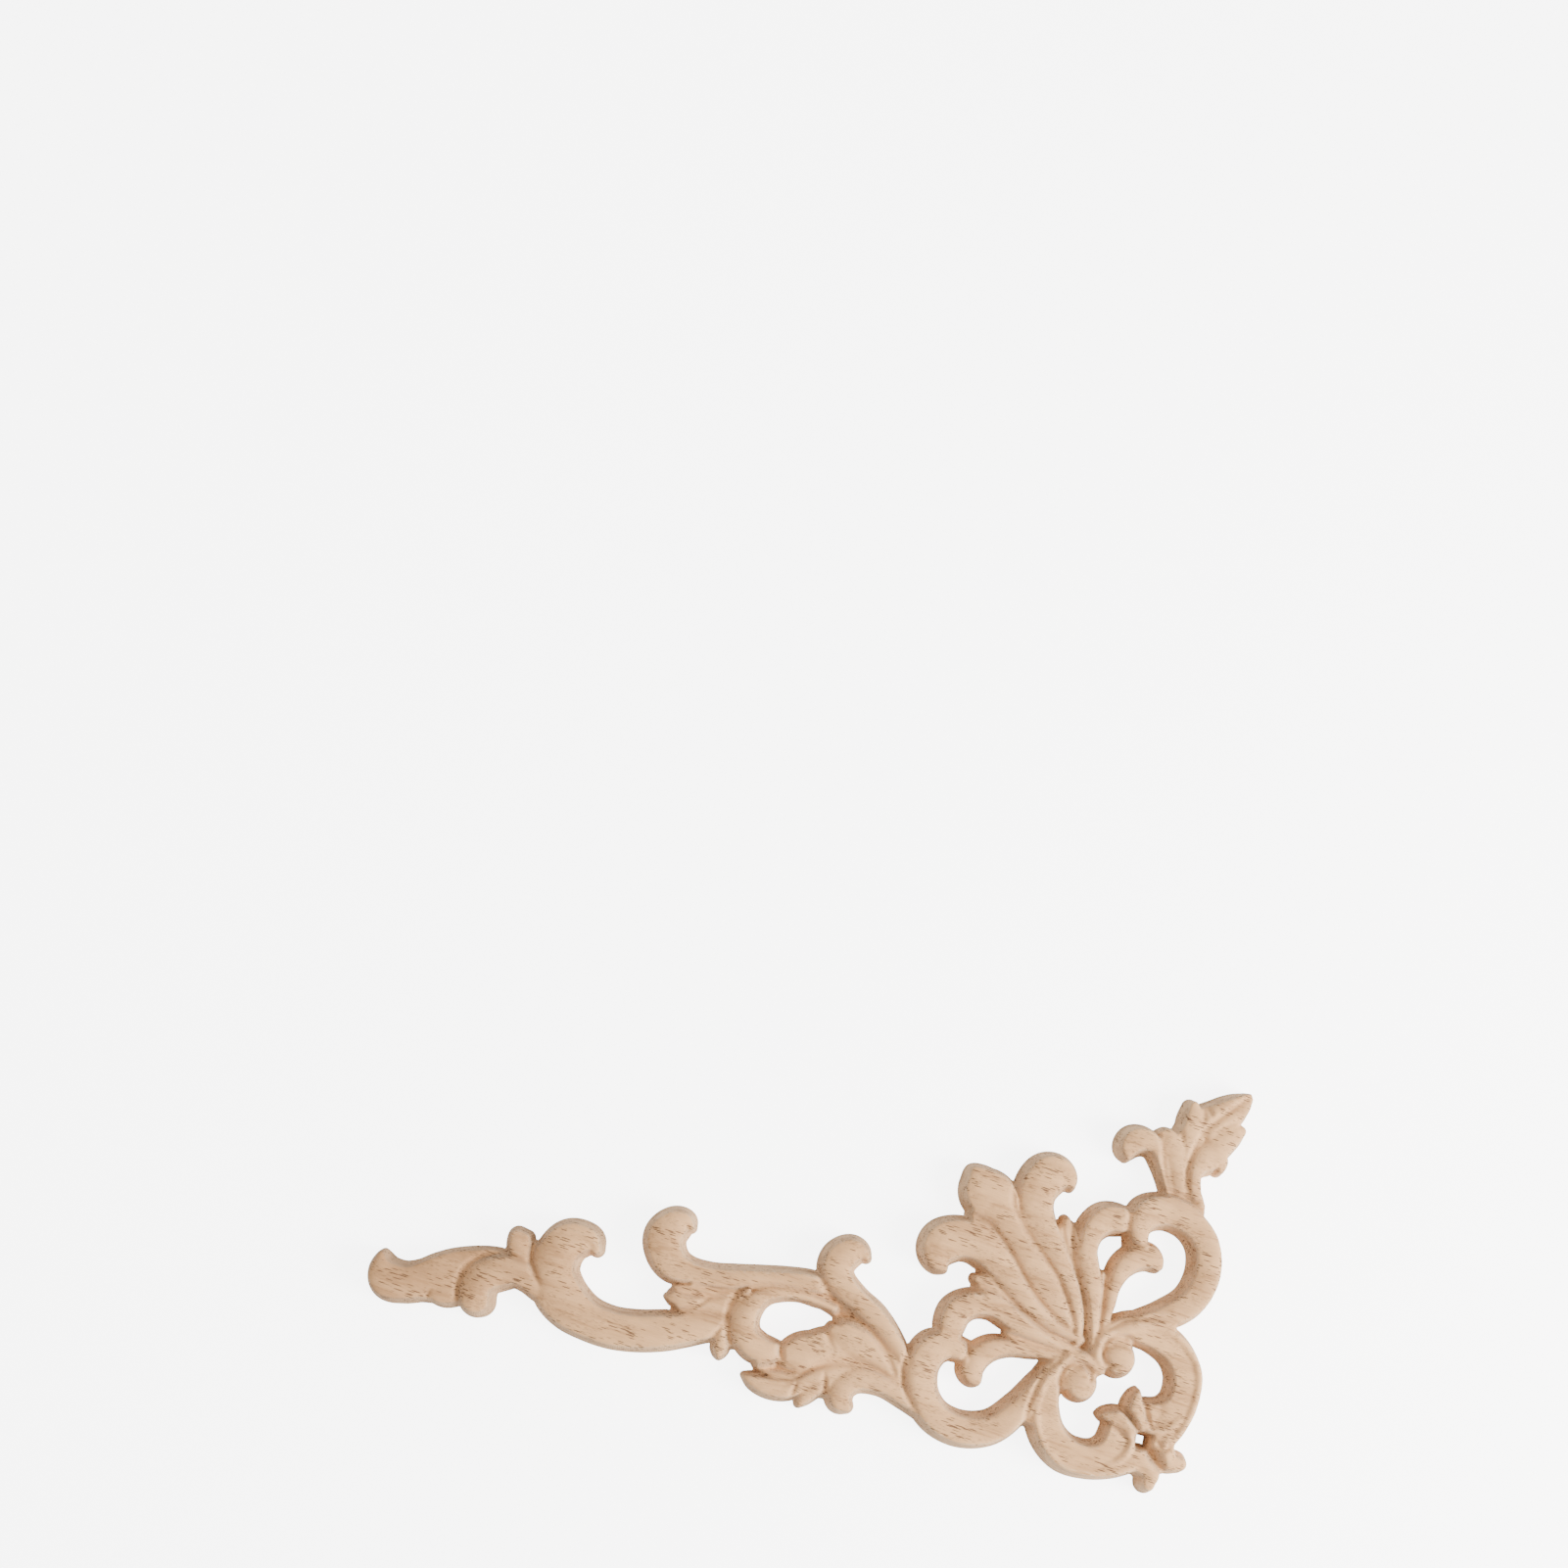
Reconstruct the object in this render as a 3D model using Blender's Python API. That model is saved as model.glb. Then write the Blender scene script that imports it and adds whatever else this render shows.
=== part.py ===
"""Carved wooden corner onlay.

One flat-backed piece, carved from one board: a long arm of scrolls and leaves, a palmette over the corner,
two heart-shaped loops and two C scrolls that mirror each other, and a short arm that ends in a leaf.
It lies with its back on z = 0 and its carved face up. X runs along the long arm and Y along the short one.
The origin is on the back, under the solid wood where the strokes of the corner meet.
"""

import math
from dataclasses import dataclass

import bmesh
import bpy
import numpy as np

# Driving sizes, in metres
LENGTH = 0.200  # length of the drawing, so its short side is 0.0985
GRID = 0.0005  # spacing of the surface's points before they are thinned
TRIANGLES = 8900  # what is left of the block's triangles once it is thinned

# Raw rubberwood
WOOD_COLOUR = (0.62, 0.45, 0.32, 1.0)
WOOD_ROUGHNESS = 0.75

# The drawing: what was carved, in millimetres, for a piece 200 long

DRAWN_LENGTH = 200.0
DRAWN_WIDTH = 98.5
MARGIN = 3.0
CREST = 7.8  # usual height of a stroke's crest
SHOULDER = 5.6  # height of the steep walls
WALL_RUN = 1.1  # how far a wall leans in over that height
SKIRT_FALL = 2.0  # steepness of a stroke's side where it runs down onto its neighbour
EASE = 0.7  # how fully a stroke's top is rounded
REACH = 1.6  # how far outside its edge a stroke is worked out
NARROW_RUN = 0.4  # a narrow stroke's wall leans in over this share of its half width
THINNEST = 0.05  # least half width along a path
CREASE_REACH = 0.3
CREASE_END_WIDTH = 0.6  # share of a crease's width that is left at its ends
CREASE_END_DEPTH = 0.45  # share of its depth there
CREASE_FLOOR = 0.2  # least wood left under a crease
PATH_STEP = 0.3
DEEP = -6.0  # height where there is no wood
FAR = 9.0  # stands for a place that no stroke reaches
TINY = 1e-9

Station = tuple[float, float, float, float]


@dataclass(frozen=True)
class Fold:
    """Mirrors a group of strokes onto the corner's other half.

    Attributes:
        x: a stroke's y taken from this gives its twin's x.
        y: a stroke's x taken from this gives its twin's y.
    """

    x: float
    y: float


# The groups' middles lie a little apart, as they do on a piece that is finished by hand
PALMETTE = Fold(199.0, 199.1)
LOOPS = Fold(199.7, 198.7)
SCROLLS = Fold(199.9, 199.6)


@dataclass(frozen=True)
class Stroke:
    """One rounded stroke of the carving, a dome swept along a path.

    Attributes:
        name: what a carver would call it.
        path: stations of x, y, half width and crest height.
        crown: drop from the crest to the stroke's edge.
        bulge: 2 for a round top, more for a flatter one.
        lean: how far the crest lies left of the path, in half widths.
        twin: how it is mirrored onto the corner's other half, if it is.
    """

    name: str
    path: tuple[Station, ...]
    crown: float = 2.0
    bulge: float = 2.0
    lean: float = 0.0
    twin: Fold | None = None


@dataclass(frozen=True)
class Core:
    """Solid wood under the place where strokes meet, so that no joint is cut right through.

    Attributes:
        name: what it joins.
        path: stations of x, y and half width.
        twin: how it is mirrored onto the corner's other half, if it is.
    """

    name: str
    path: tuple[tuple[float, float, float], ...]
    twin: Fold | None = None


@dataclass(frozen=True)
class Crease:
    """A narrow V cut along the edge of a stroke or down a leaf.

    Attributes:
        name: where it runs.
        points: its x and y points.
        width: half width at the surface.
        depth: depth at its middle.
        twin: how it is mirrored onto the corner's other half, if it is.
    """

    name: str
    points: tuple[tuple[float, float], ...]
    width: float = 0.85
    depth: float = 0.75
    twin: Fold | None = None


@dataclass(frozen=True)
class Pit:
    """A small square hole with sloping sides.

    Attributes:
        x: middle along the long arm.
        y: middle along the short arm.
        half_x: half its width at the back.
        half_y: half its height at the back.
        run: how far its sides lean out over the thickness.
    """

    x: float
    y: float
    half_x: float
    half_y: float
    run: float


def with_twin(path: np.ndarray, fold: Fold | None) -> list[np.ndarray]:
    """Give a path, and its twin on the corner's other half if it has one.

    Args:
        path: rows that start with x and y.
        fold: how it is mirrored, if it is.

    Returns:
        The path, then its twin.
    """
    if fold is None:
        return [path]
    other = path.copy()
    other[:, 0] = fold.x - path[:, 1]
    other[:, 1] = fold.y - path[:, 0]
    return [path, other]


def smooth_path(stations: np.ndarray, step: float) -> np.ndarray:
    """Run a smooth curve through the stations, with their widths and heights.

    Args:
        stations: rows that start with x and y.
        step: distance between the curve's points.

    Returns:
        The curve's rows, in order.
    """
    if len(stations) < 2:
        return stations
    ends = (2 * stations[0] - stations[1], stations, 2 * stations[-1] - stations[-2])
    rows = np.vstack(ends)
    pieces = []
    for before, start, end, after in zip(rows, rows[1:], rows[2:], rows[3:]):
        first, middle, last = (
            math.sqrt(max(math.dist(a[:2], b[:2]), TINY))
            for a, b in ((before, start), (start, end), (end, after))
        )
        leave = (start - before) / first - (end - before) / (first + middle)
        arrive = (after - end) / last - (after - start) / (middle + last)
        leave = end - start + middle * leave
        arrive = end - start + middle * arrive
        count = max(2, math.ceil(math.dist(start[:2], end[:2]) / step))
        t = np.linspace(0, 1, count, endpoint=False)[:, None]
        pieces.append(
            (2 * t**3 - 3 * t**2 + 1) * start
            + (t**3 - 2 * t**2 + t) * leave
            + (3 * t**2 - 2 * t**3) * end
            + (t**3 - t**2) * arrive
        )
    return np.vstack([*pieces, stations[-1:]])


def beside(path: tuple[Station, ...], width: float, inset: float, rise: float) -> tuple[Station, ...]:
    """Draw a narrower stroke along the right edge of a wide one.

    Args:
        path: the wide stroke's stations.
        width: half width of the narrow stroke.
        inset: how far its edge stays inside the wide stroke's.
        rise: how much higher its crest is.

    Returns:
        The narrow stroke's stations.
    """
    rows = np.array(path)
    along = np.gradient(rows[:, :2], axis=0)
    along /= np.linalg.norm(along, axis=1)[:, None]
    across = np.stack([along[:, 1], -along[:, 0]], axis=1)
    spots = rows[:, :2] + across * (rows[:, 2:3] - width - inset)
    return tuple((x, y, width, z + rise) for (x, y), z in zip(spots.tolist(), rows[:, 3].tolist()))


C_BAND = (
    (163.2, 19.5, 3.7, 7.2), (163.3, 14, 4.4, 7.2), (165.9, 8.4, 4.6, 7.2), (170.3, 5.3, 4.7, 7.2),
    (175.8, 5, 4.6, 7.2), (181, 6.3, 4.6, 7.2), (186, 8, 3.8, 7),
)

STROKES = (
    Stroke(
        "tip lobe",
        (
            (37, 15.5, 3.2, 5.9), (30, 14.2, 5.4, 6.1), (22.5, 11.2, 6.6, 6.5), (18, 9.5, 6.1, 7),
            (14, 7.9, 5.15, 7.2), (10, 6.5, 5, 7.3), (6.2, 6.4, 5.1, 7.3), (4.6, 7.8, 4.2, 7.2),
            (3.7, 10.1, 2.6, 6.8), (3.4, 11.7, 1.3, 6.2),
        ),
        crown=2.4,
    ),
    Stroke(
        "under lobe",
        (
            (24, 9, 4.2, 6.4), (19.8, 7.6, 4.75, 6.8), (17.6, 8, 4.3, 6.8),
        ),
        crown=1.6,
    ),
    Stroke(
        "curl lobe",
        (
            (47, 10.9, 3.2, 7), (42.2, 12.8, 3.9, 7.2), (37.8, 14.5, 3.9, 7.6), (33.4, 14.9, 3.8, 7.7),
            (29.7, 13.5, 4.1, 7.8), (27.5, 10.4, 4.5, 7.8), (27.4, 7.1, 4.6, 7.7), (28.6, 6.3, 3.6, 7.4),
        ),
        crown=2.4,
    ),
    Stroke(
        "first bud",
        (
            (36.6, 16.8, 3, 6.6), (34.7, 19.6, 3.3, 7), (33.7, 21.5, 3.1, 7.2), (33, 23.3, 2.2, 7.1),
            (35.3, 23, 2.1, 7),
        ),
        crown=1.7,
    ),
    Stroke(
        "big scroll",
        (
            (52.3, 24.4, 1.9, 7), (50.5, 26.2, 3.3, 7.4), (48, 26, 4.5, 7.6), (45.2, 24.6, 5.5, 7.8),
            (43.6, 21.3, 5.9, 7.8), (43.7, 17.2, 6, 7.8), (45.6, 13.3, 6.4, 7.8), (49.3, 10.4, 6, 7.8),
            (54, 8.6, 5.3, 7.8), (60, 7.85, 5.05, 7.8), (66, 8.5, 5, 7.8), (72, 10, 4.9, 7.8),
            (77, 11.7, 4.5, 7.6), (81.5, 13.3, 4, 7.3), (86, 14.4, 3.6, 6.9),
        ),
        crown=2.6,
    ),
    Stroke(
        "pendant bud",
        (
            (86.1, 15, 0.8, 6.4), (86.1, 12.5, 1.8, 6.7), (86.1, 10, 2.6, 6.9), (86.2, 8.7, 2.1, 6.8),
            (86.3, 7.5, 1.1, 6.4),
        ),
    ),
    Stroke(
        "sliver",
        (
            (72.4, 20.4, 0.9, 5.9), (75, 20.8, 1.4, 6.1), (80, 20.9, 1.5, 6.2), (87, 21.6, 1.8, 6.6),
            (89.5, 23.2, 1.6, 7),
        ),
        crown=0.9,
    ),
    Stroke(
        "leaflet",
        (
            (71, 17.9, 0.9, 6.2), (73.2, 17.9, 2.2, 6.8), (77, 18, 2.3, 6.9), (81, 18.2, 2.1, 6.7),
            (87, 18.4, 2, 6.5),
        ),
        crown=1.2,
    ),
    Stroke(
        "ring",
        (
            (110, 24.6, 1.2, 6), (106, 25.2, 1.7, 6.5), (101.5, 25.6, 1.9, 6.9), (97.2, 25, 2.3, 7.2),
            (94, 23.8, 2.7, 7.4), (91.6, 21.6, 3.3, 7.6), (90.2, 17.3, 3.85, 7.7), (91.4, 13.6, 3.95, 7.7),
            (94.6, 11.5, 4, 7.5), (97.9, 11.8, 2.9, 7.2), (99.3, 12.9, 1.5, 6.8),
        ),
        crown=2.3,
    ),
    Stroke(
        "second hook",
        (
            (72.9, 34.6, 1.4, 6.6), (71.5, 35.8, 2.6, 7.2), (69.2, 34.7, 4.35, 7.7),
            (67.2, 31.5, 5.3, 7.8), (68, 28.3, 5.15, 7.8), (70.5, 25.6, 4.65, 7.8), (74.2, 24.7, 3.8, 7.7),
            (80, 25.1, 3.1, 7.6), (86, 26.1, 3.1, 7.6), (92, 27.5, 2.9, 7.6), (98, 28.7, 2.8, 7.6),
            (104, 29.3, 2.8, 7.4), (108.4, 28.9, 2.5, 6.6), (112, 27.2, 1.8, 5.9),
        ),
        crown=2.3,
    ),
    Stroke(
        "third hook",
        (
            (115.3, 37.6, 1.4, 6.8), (113.6, 38.8, 2.6, 7.3), (111.3, 38.4, 4, 7.7), (109, 36, 4.7, 7.8),
            (108.7, 33, 4.5, 7.8), (110.8, 30.5, 4, 7.8), (115.5, 27.8, 3.3, 7.8), (120.1, 25.3, 3.3, 7.8),
            (124.5, 21.9, 2.9, 7.7), (128.5, 17.6, 2.4, 7.3), (131, 13, 2, 6.8),
        ),
        crown=2.3,
    ),
    Stroke(
        "leaf upper blade",
        (
            (100.4, 11.2, 1.6, 6.2), (102.4, 12.2, 3.2, 6.7), (105, 13.4, 4.3, 6.9), (109, 14.7, 4.1, 6.8),
            (114, 15.2, 2.8, 6.5), (120, 15, 2, 6.3),
        ),
        crown=1.2,
    ),
    Stroke(
        "leaf back blade",
        (
            (111.3, 19.7, 2.2, 6.4), (114, 18.9, 3.6, 7), (118, 17.9, 4.4, 7.2), (123, 16.2, 3.8, 7),
            (129, 13.5, 3.2, 6.7),
        ),
        crown=1.9,
    ),
    Stroke(
        "leaf first lobe",
        (
            (93.1, 4.7, 0.9, 6), (96, 4, 2.5, 6.8), (100, 3.8, 3.3, 7.1), (104, 4.6, 3.3, 7.1),
            (109, 7.8, 2.6, 6.9), (114, 10.6, 2.2, 6.7), (120, 12, 1.8, 6.5),
        ),
        crown=1.9,
    ),
    Stroke(
        "leaf second lobe",
        (
            (107.1, 1.5, 1.2, 6), (108.1, 3.4, 2.3, 6.7), (110.4, 6.5, 2.8, 6.9), (114, 9.2, 2.4, 6.8),
        ),
        crown=1.6,
    ),
    Stroke(
        "leaf third lobe",
        (
            (118.2, 3.5, 1.9, 6.8), (116.2, 4.6, 3.4, 7.3), (116.2, 7.4, 3.7, 7.5), (119, 9.8, 3.4, 7.5),
            (125, 10.2, 3, 7.4), (131, 8.4, 2.8, 7.2), (137, 6.5, 3, 7),
        ),
        crown=2.1,
    ),
    Stroke(
        "heart loop",
        (
            (166.5, 27, 1.6, 7.4), (161.8, 20.5, 2.7, 7.6), (157.6, 12.6, 3.8, 7.8),
            (152.4, 6.8, 4.2, 7.8), (145.4, 4.75, 4.35, 7.8), (139, 6.2, 4.3, 7.8),
            (134.9, 10.4, 4.35, 7.8), (133.4, 16.5, 4.6, 7.8), (135, 21, 4.6, 7.8),
            (138.2, 22.4, 3.7, 7.5), (141, 21.6, 2.6, 7.2), (142.6, 20.4, 1.5, 6.9),
        ),
        crown=2.2, lean=0.25, twin=LOOPS,
    ),
    Stroke(
        "inner leaf",
        (
            (164, 26.6, 1.5, 6.4), (158, 26, 2.1, 6.5), (153, 25.7, 2.6, 6.6), (148.6, 24.3, 3.3, 6.7),
            (145.9, 21.7, 3.6, 6.7), (144.8, 18.6, 3.55, 6.7), (145.5, 17.2, 2.9, 6.5),
            (146.7, 16.3, 1.6, 6),
        ),
        crown=1.9, twin=LOOPS,
    ),
    Stroke(
        "outer leaf",
        (
            (168, 28.2, 1.2, 6.6), (163, 29, 1.8, 7), (157, 30.3, 2.6, 7.4), (152, 31.9, 3.3, 7.6),
            (146.5, 33.8, 3.5, 7.7), (141.8, 33.2, 3.9, 7.7), (138.7, 30.6, 4.3, 7.7),
            (138, 27.6, 4.1, 7.6), (138, 25.5, 3.5, 7.4),
        ),
        lean=-0.2, twin=LOOPS,
    ),
    Stroke(
        "side bud",
        (
            (141.6, 39.1, 1.5, 5.9), (146, 38.3, 1.9, 6.3), (150.5, 36.2, 1.7, 6.4), (156, 33.2, 1.3, 6.4),
        ),
        crown=1.2, twin=PALMETTE,
    ),
    Stroke(
        "side petal",
        (
            (133.7, 39.5, 1.3, 6.6), (131.8, 40.9, 3.2, 7.2), (131.1, 43.2, 4.7, 7.6),
            (132.1, 45.5, 5.65, 7.8), (135.8, 47.4, 5.55, 7.8), (140, 47.2, 5.2, 7.8),
            (144.8, 44.7, 4.7, 7.8), (150, 40.5, 3.7, 7.8), (155, 36.6, 2.8, 7.7), (160, 33.6, 2.3, 7.5),
            (165, 31.8, 1.7, 7.2), (168.5, 31.3, 1.2, 7),
        ),
        twin=PALMETTE,
    ),
    Stroke(
        "centre lobe",
        (
            (135.3, 64, 1.1, 6.6), (136.2, 63.2, 2.6, 7), (137.8, 61.5, 4.5, 7.6), (139.7, 59.3, 6.4, 7.8),
            (141.7, 58.6, 6.6, 7.8), (145, 54.9, 4.9, 7.8), (148.6, 51.4, 4.2, 7.8),
            (152.4, 47.7, 4.2, 7.8), (155.6, 44.4, 4.5, 7.8), (158.8, 40.9, 4.5, 7.7),
            (162, 37.5, 3.7, 7.5), (165.5, 34, 2.4, 7.2),
        ),
    ),
    Stroke(
        "volute",
        (
            (170.5, 21.6, 4.8, 7.9),
        ),
        crown=2.2, twin=SCROLLS,
    ),
    Stroke(
        "volute wrap",
        (
            (163.2, 19.5, 3.6, 7.2), (164.3, 23, 3, 7.3), (167.2, 26, 2.2, 7.4), (170.8, 27, 1.6, 7.4),
            (173, 26, 1.3, 7.2), (174.5, 24.7, 0.8, 6.6),
        ),
        crown=1.5, twin=SCROLLS,
    ),
    Stroke(
        "C band",
        C_BAND,
        crown=1, bulge=3, twin=SCROLLS,
    ),
    Stroke(
        "C rim",
        beside(C_BAND, 1.75, 0.5, 0.5),
        crown=2.2, twin=SCROLLS,
    ),
    Stroke(
        "ear",
        (
            (176.3, 15.7, 0.7, 6.4), (178.3, 15.9, 2.1, 7.3), (181.2, 16.1, 2.7, 7.8),
            (183.4, 14.5, 2.1, 7.8), (183.9, 12.6, 1.1, 7.5),
        ),
        crown=1.8, twin=SCROLLS,
    ),
    Stroke(
        "toe",
        (
            (190.3, 3.2, 2.6, 6.8), (190.3, 6, 3.2, 7.2), (186.5, 7.8, 3.4, 7.2),
        ),
        crown=1.6, twin=SCROLLS,
    ),
    Stroke(
        "sprig hook",
        (
            (183.5, 67.5, 1.6, 6.8), (181.2, 72, 1.5, 7), (179.3, 76, 2.1, 7.2), (177.3, 79.6, 3.1, 7.5),
            (174.5, 80.6, 3.8, 7.6), (172.2, 79.9, 4, 7.5), (171, 77.9, 3.2, 7), (171.2, 75.8, 1.5, 6.4),
        ),
        crown=1.9,
    ),
    Stroke(
        "sprig left blade",
        (
            (185.5, 68.5, 2.4, 6.8), (183.4, 75, 2.9, 7), (181.6, 80.6, 3.6, 7), (179.9, 83.1, 2.3, 6.6),
            (178.2, 83.2, 1.3, 6.2),
        ),
        crown=1.6,
    ),
    Stroke(
        "sprig upper blade",
        (
            (186, 76, 1.8, 6.6), (185.2, 82, 2.8, 6.9), (185.1, 87.6, 3.4, 7), (184.6, 91.3, 2.1, 6.4),
        ),
        crown=1.3,
    ),
    Stroke(
        "sprig tip",
        (
            (187.8, 86, 1.8, 6.8), (190.4, 91, 3.1, 7.2), (194, 94.3, 2.6, 7.2), (197.4, 97, 1.1, 6.4),
        ),
        crown=1.7,
    ),
    Stroke(
        "sprig right tip",
        (
            (190, 85.5, 2.2, 6.8), (193.6, 90, 3.4, 7), (196.3, 93.2, 2.5, 6.8), (197.8, 96.2, 1.1, 6.2),
        ),
        crown=1.7,
    ),
    Stroke(
        "sprig right blade",
        (
            (190.3, 79, 3.4, 7), (193.1, 84.3, 4, 7.2), (195.8, 87.2, 3, 6.8), (196.9, 88.2, 2, 6.3),
        ),
        crown=1.8,
    ),
    Stroke(
        "sprig right hook",
        (
            (189.3, 68, 3.4, 7.2), (187.4, 74.5, 2.6, 7.4), (190.4, 80.4, 3.9, 7.3), (193.2, 79.8, 3, 7.1),
            (193.6, 77.9, 1.7, 6.4),
        ),
        crown=1.9,
    ),
    Stroke(
        "spoon",
        (
            (174.6, 6.3, 3, 6.9), (177.6, 7, 3.1, 6.8), (180.2, 9, 3.5, 6.7), (181.3, 12, 3.6, 6.8),
        ),
        crown=0.5, bulge=3, twin=SCROLLS,
    ),
    Stroke(
        "spoon rim",
        (
            (179.73, 4.78, 1.9, 7.4), (181.9, 6.26, 1.6, 7.6), (183.68, 8.52, 1.3, 7.7),
            (184.46, 10.69, 1.1, 7.6), (184.37, 12.27, 0.8, 7.4),
        ),
        crown=1.3, twin=SCROLLS,
    ),
    Stroke(
        "tie",
        (
            (182.89, 6.45, 1.3, 7.3), (185.65, 7.34, 1.8, 7.5), (188.6, 7.05, 1.8, 7.5),
            (190.77, 5.57, 1.4, 7.2),
        ),
        crown=1.3, twin=SCROLLS,
    ),
)

CORES = (
    Core(
        "left end",
        (
            (24, 11, 5), (30, 13.5, 4), (35, 16.5, 4), (40, 17, 5),
        ),
    ),
    Core(
        "bud notch",
        (
            (36.4, 21.6, 1.9), (39, 21, 2),
        ),
    ),
    Core(
        "leaflets",
        (
            (73.2, 18.2, 2.6), (80, 18.5, 6), (88, 18, 6),
        ),
    ),
    Core(
        "ring top",
        (
            (84, 23, 2.4), (91, 25.6, 2.2), (104, 26.6, 2.6), (111.8, 24.3, 2.4), (115, 22.2, 3.4),
            (120, 20, 4),
        ),
    ),
    Core(
        "bud",
        (
            (86, 11, 2.2), (88.5, 12.5, 3),
        ),
    ),
    Core(
        "leaf",
        (
            (96.5, 8.6, 2.6), (104, 9.4, 5.8), (112, 12.2, 8.4), (120, 14.5, 7.2), (129, 13, 6.2),
        ),
    ),
    Core(
        "palmette",
        (
            (171, 30, 5), (160, 38, 8), (150, 47, 9), (142.5, 54, 6.6),
        ),
    ),
    Core(
        "palmette side",
        (
            (168, 29.5, 3), (158, 32, 4), (150, 36.5, 4), (144, 38.6, 3.2),
        ),
        twin=PALMETTE,
    ),
    Core(
        "loop",
        (
            (138.3, 25, 3.4), (135, 21, 4),
        ),
        twin=LOOPS,
    ),
    Core(
        "loop tip",
        (
            (140.2, 23.2, 2.6), (144, 22.3, 2.6),
        ),
        twin=LOOPS,
    ),
    Core(
        "under outer leaf",
        (
            (151.5, 28.7, 1.2), (154, 28.5, 2.4), (160, 27.8, 3.4), (168, 27, 4),
        ),
        twin=LOOPS,
    ),
    Core(
        "notch",
        (
            (160.2, 11, 2.3), (160.6, 16, 2.6), (162.3, 21, 3), (165, 25, 3),
        ),
        twin=SCROLLS,
    ),
    Core(
        "hub",
        (
            (165, 25, 3), (168, 25, 4), (172, 28, 5),
        ),
        twin=SCROLLS,
    ),
    Core(
        "foot",
        (
            (174.6, 6.4, 3), (177.5, 7.2, 3.1), (179.8, 9.2, 3.3), (180.9, 12.2, 3.5), (181.6, 14.2, 3.9),
        ),
        twin=SCROLLS,
    ),
    Core(
        "heel",
        (
            (182, 9, 4.4), (183.4, 13.4, 4.2),
        ),
        twin=SCROLLS,
    ),
    Core(
        "volute",
        (
            (166.8, 20.7, 2.4), (168.8, 23.2, 3.6), (172.4, 25.2, 2.4),
        ),
        twin=SCROLLS,
    ),
    Core(
        "toe",
        (
            (186, 8, 4), (190, 9, 3.6), (191, 7, 3),
        ),
        twin=SCROLLS,
    ),
    Core(
        "sprig",
        (
            (186.5, 68, 5.4), (185.8, 75, 4.6), (186, 82, 5.4), (187.5, 87, 5), (192, 91, 4.4),
        ),
    ),
    Core(
        "sprig right",
        (
            (189.4, 66.6, 3.5), (187.6, 69.6, 3.7), (187, 75, 3), (190, 81, 4.4), (193, 86, 4),
        ),
    ),
    Core(
        "sprig hook",
        (
            (184, 69.6, 2.6), (182.2, 73.6, 2.8), (180.8, 78, 2.6), (179, 81.6, 2.2),
        ),
    ),
    Core(
        "hook seam",
        (
            (77, 22.6, 1.8), (83, 23.2, 2.4), (89, 24.8, 2.2),
        ),
    ),
    Core(
        "third hook seam",
        (
            (108, 29, 2.2), (113, 26, 3.2), (119, 22.8, 3.4), (124, 19, 3.6), (128.5, 14, 3.4),
        ),
    ),
)

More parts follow.
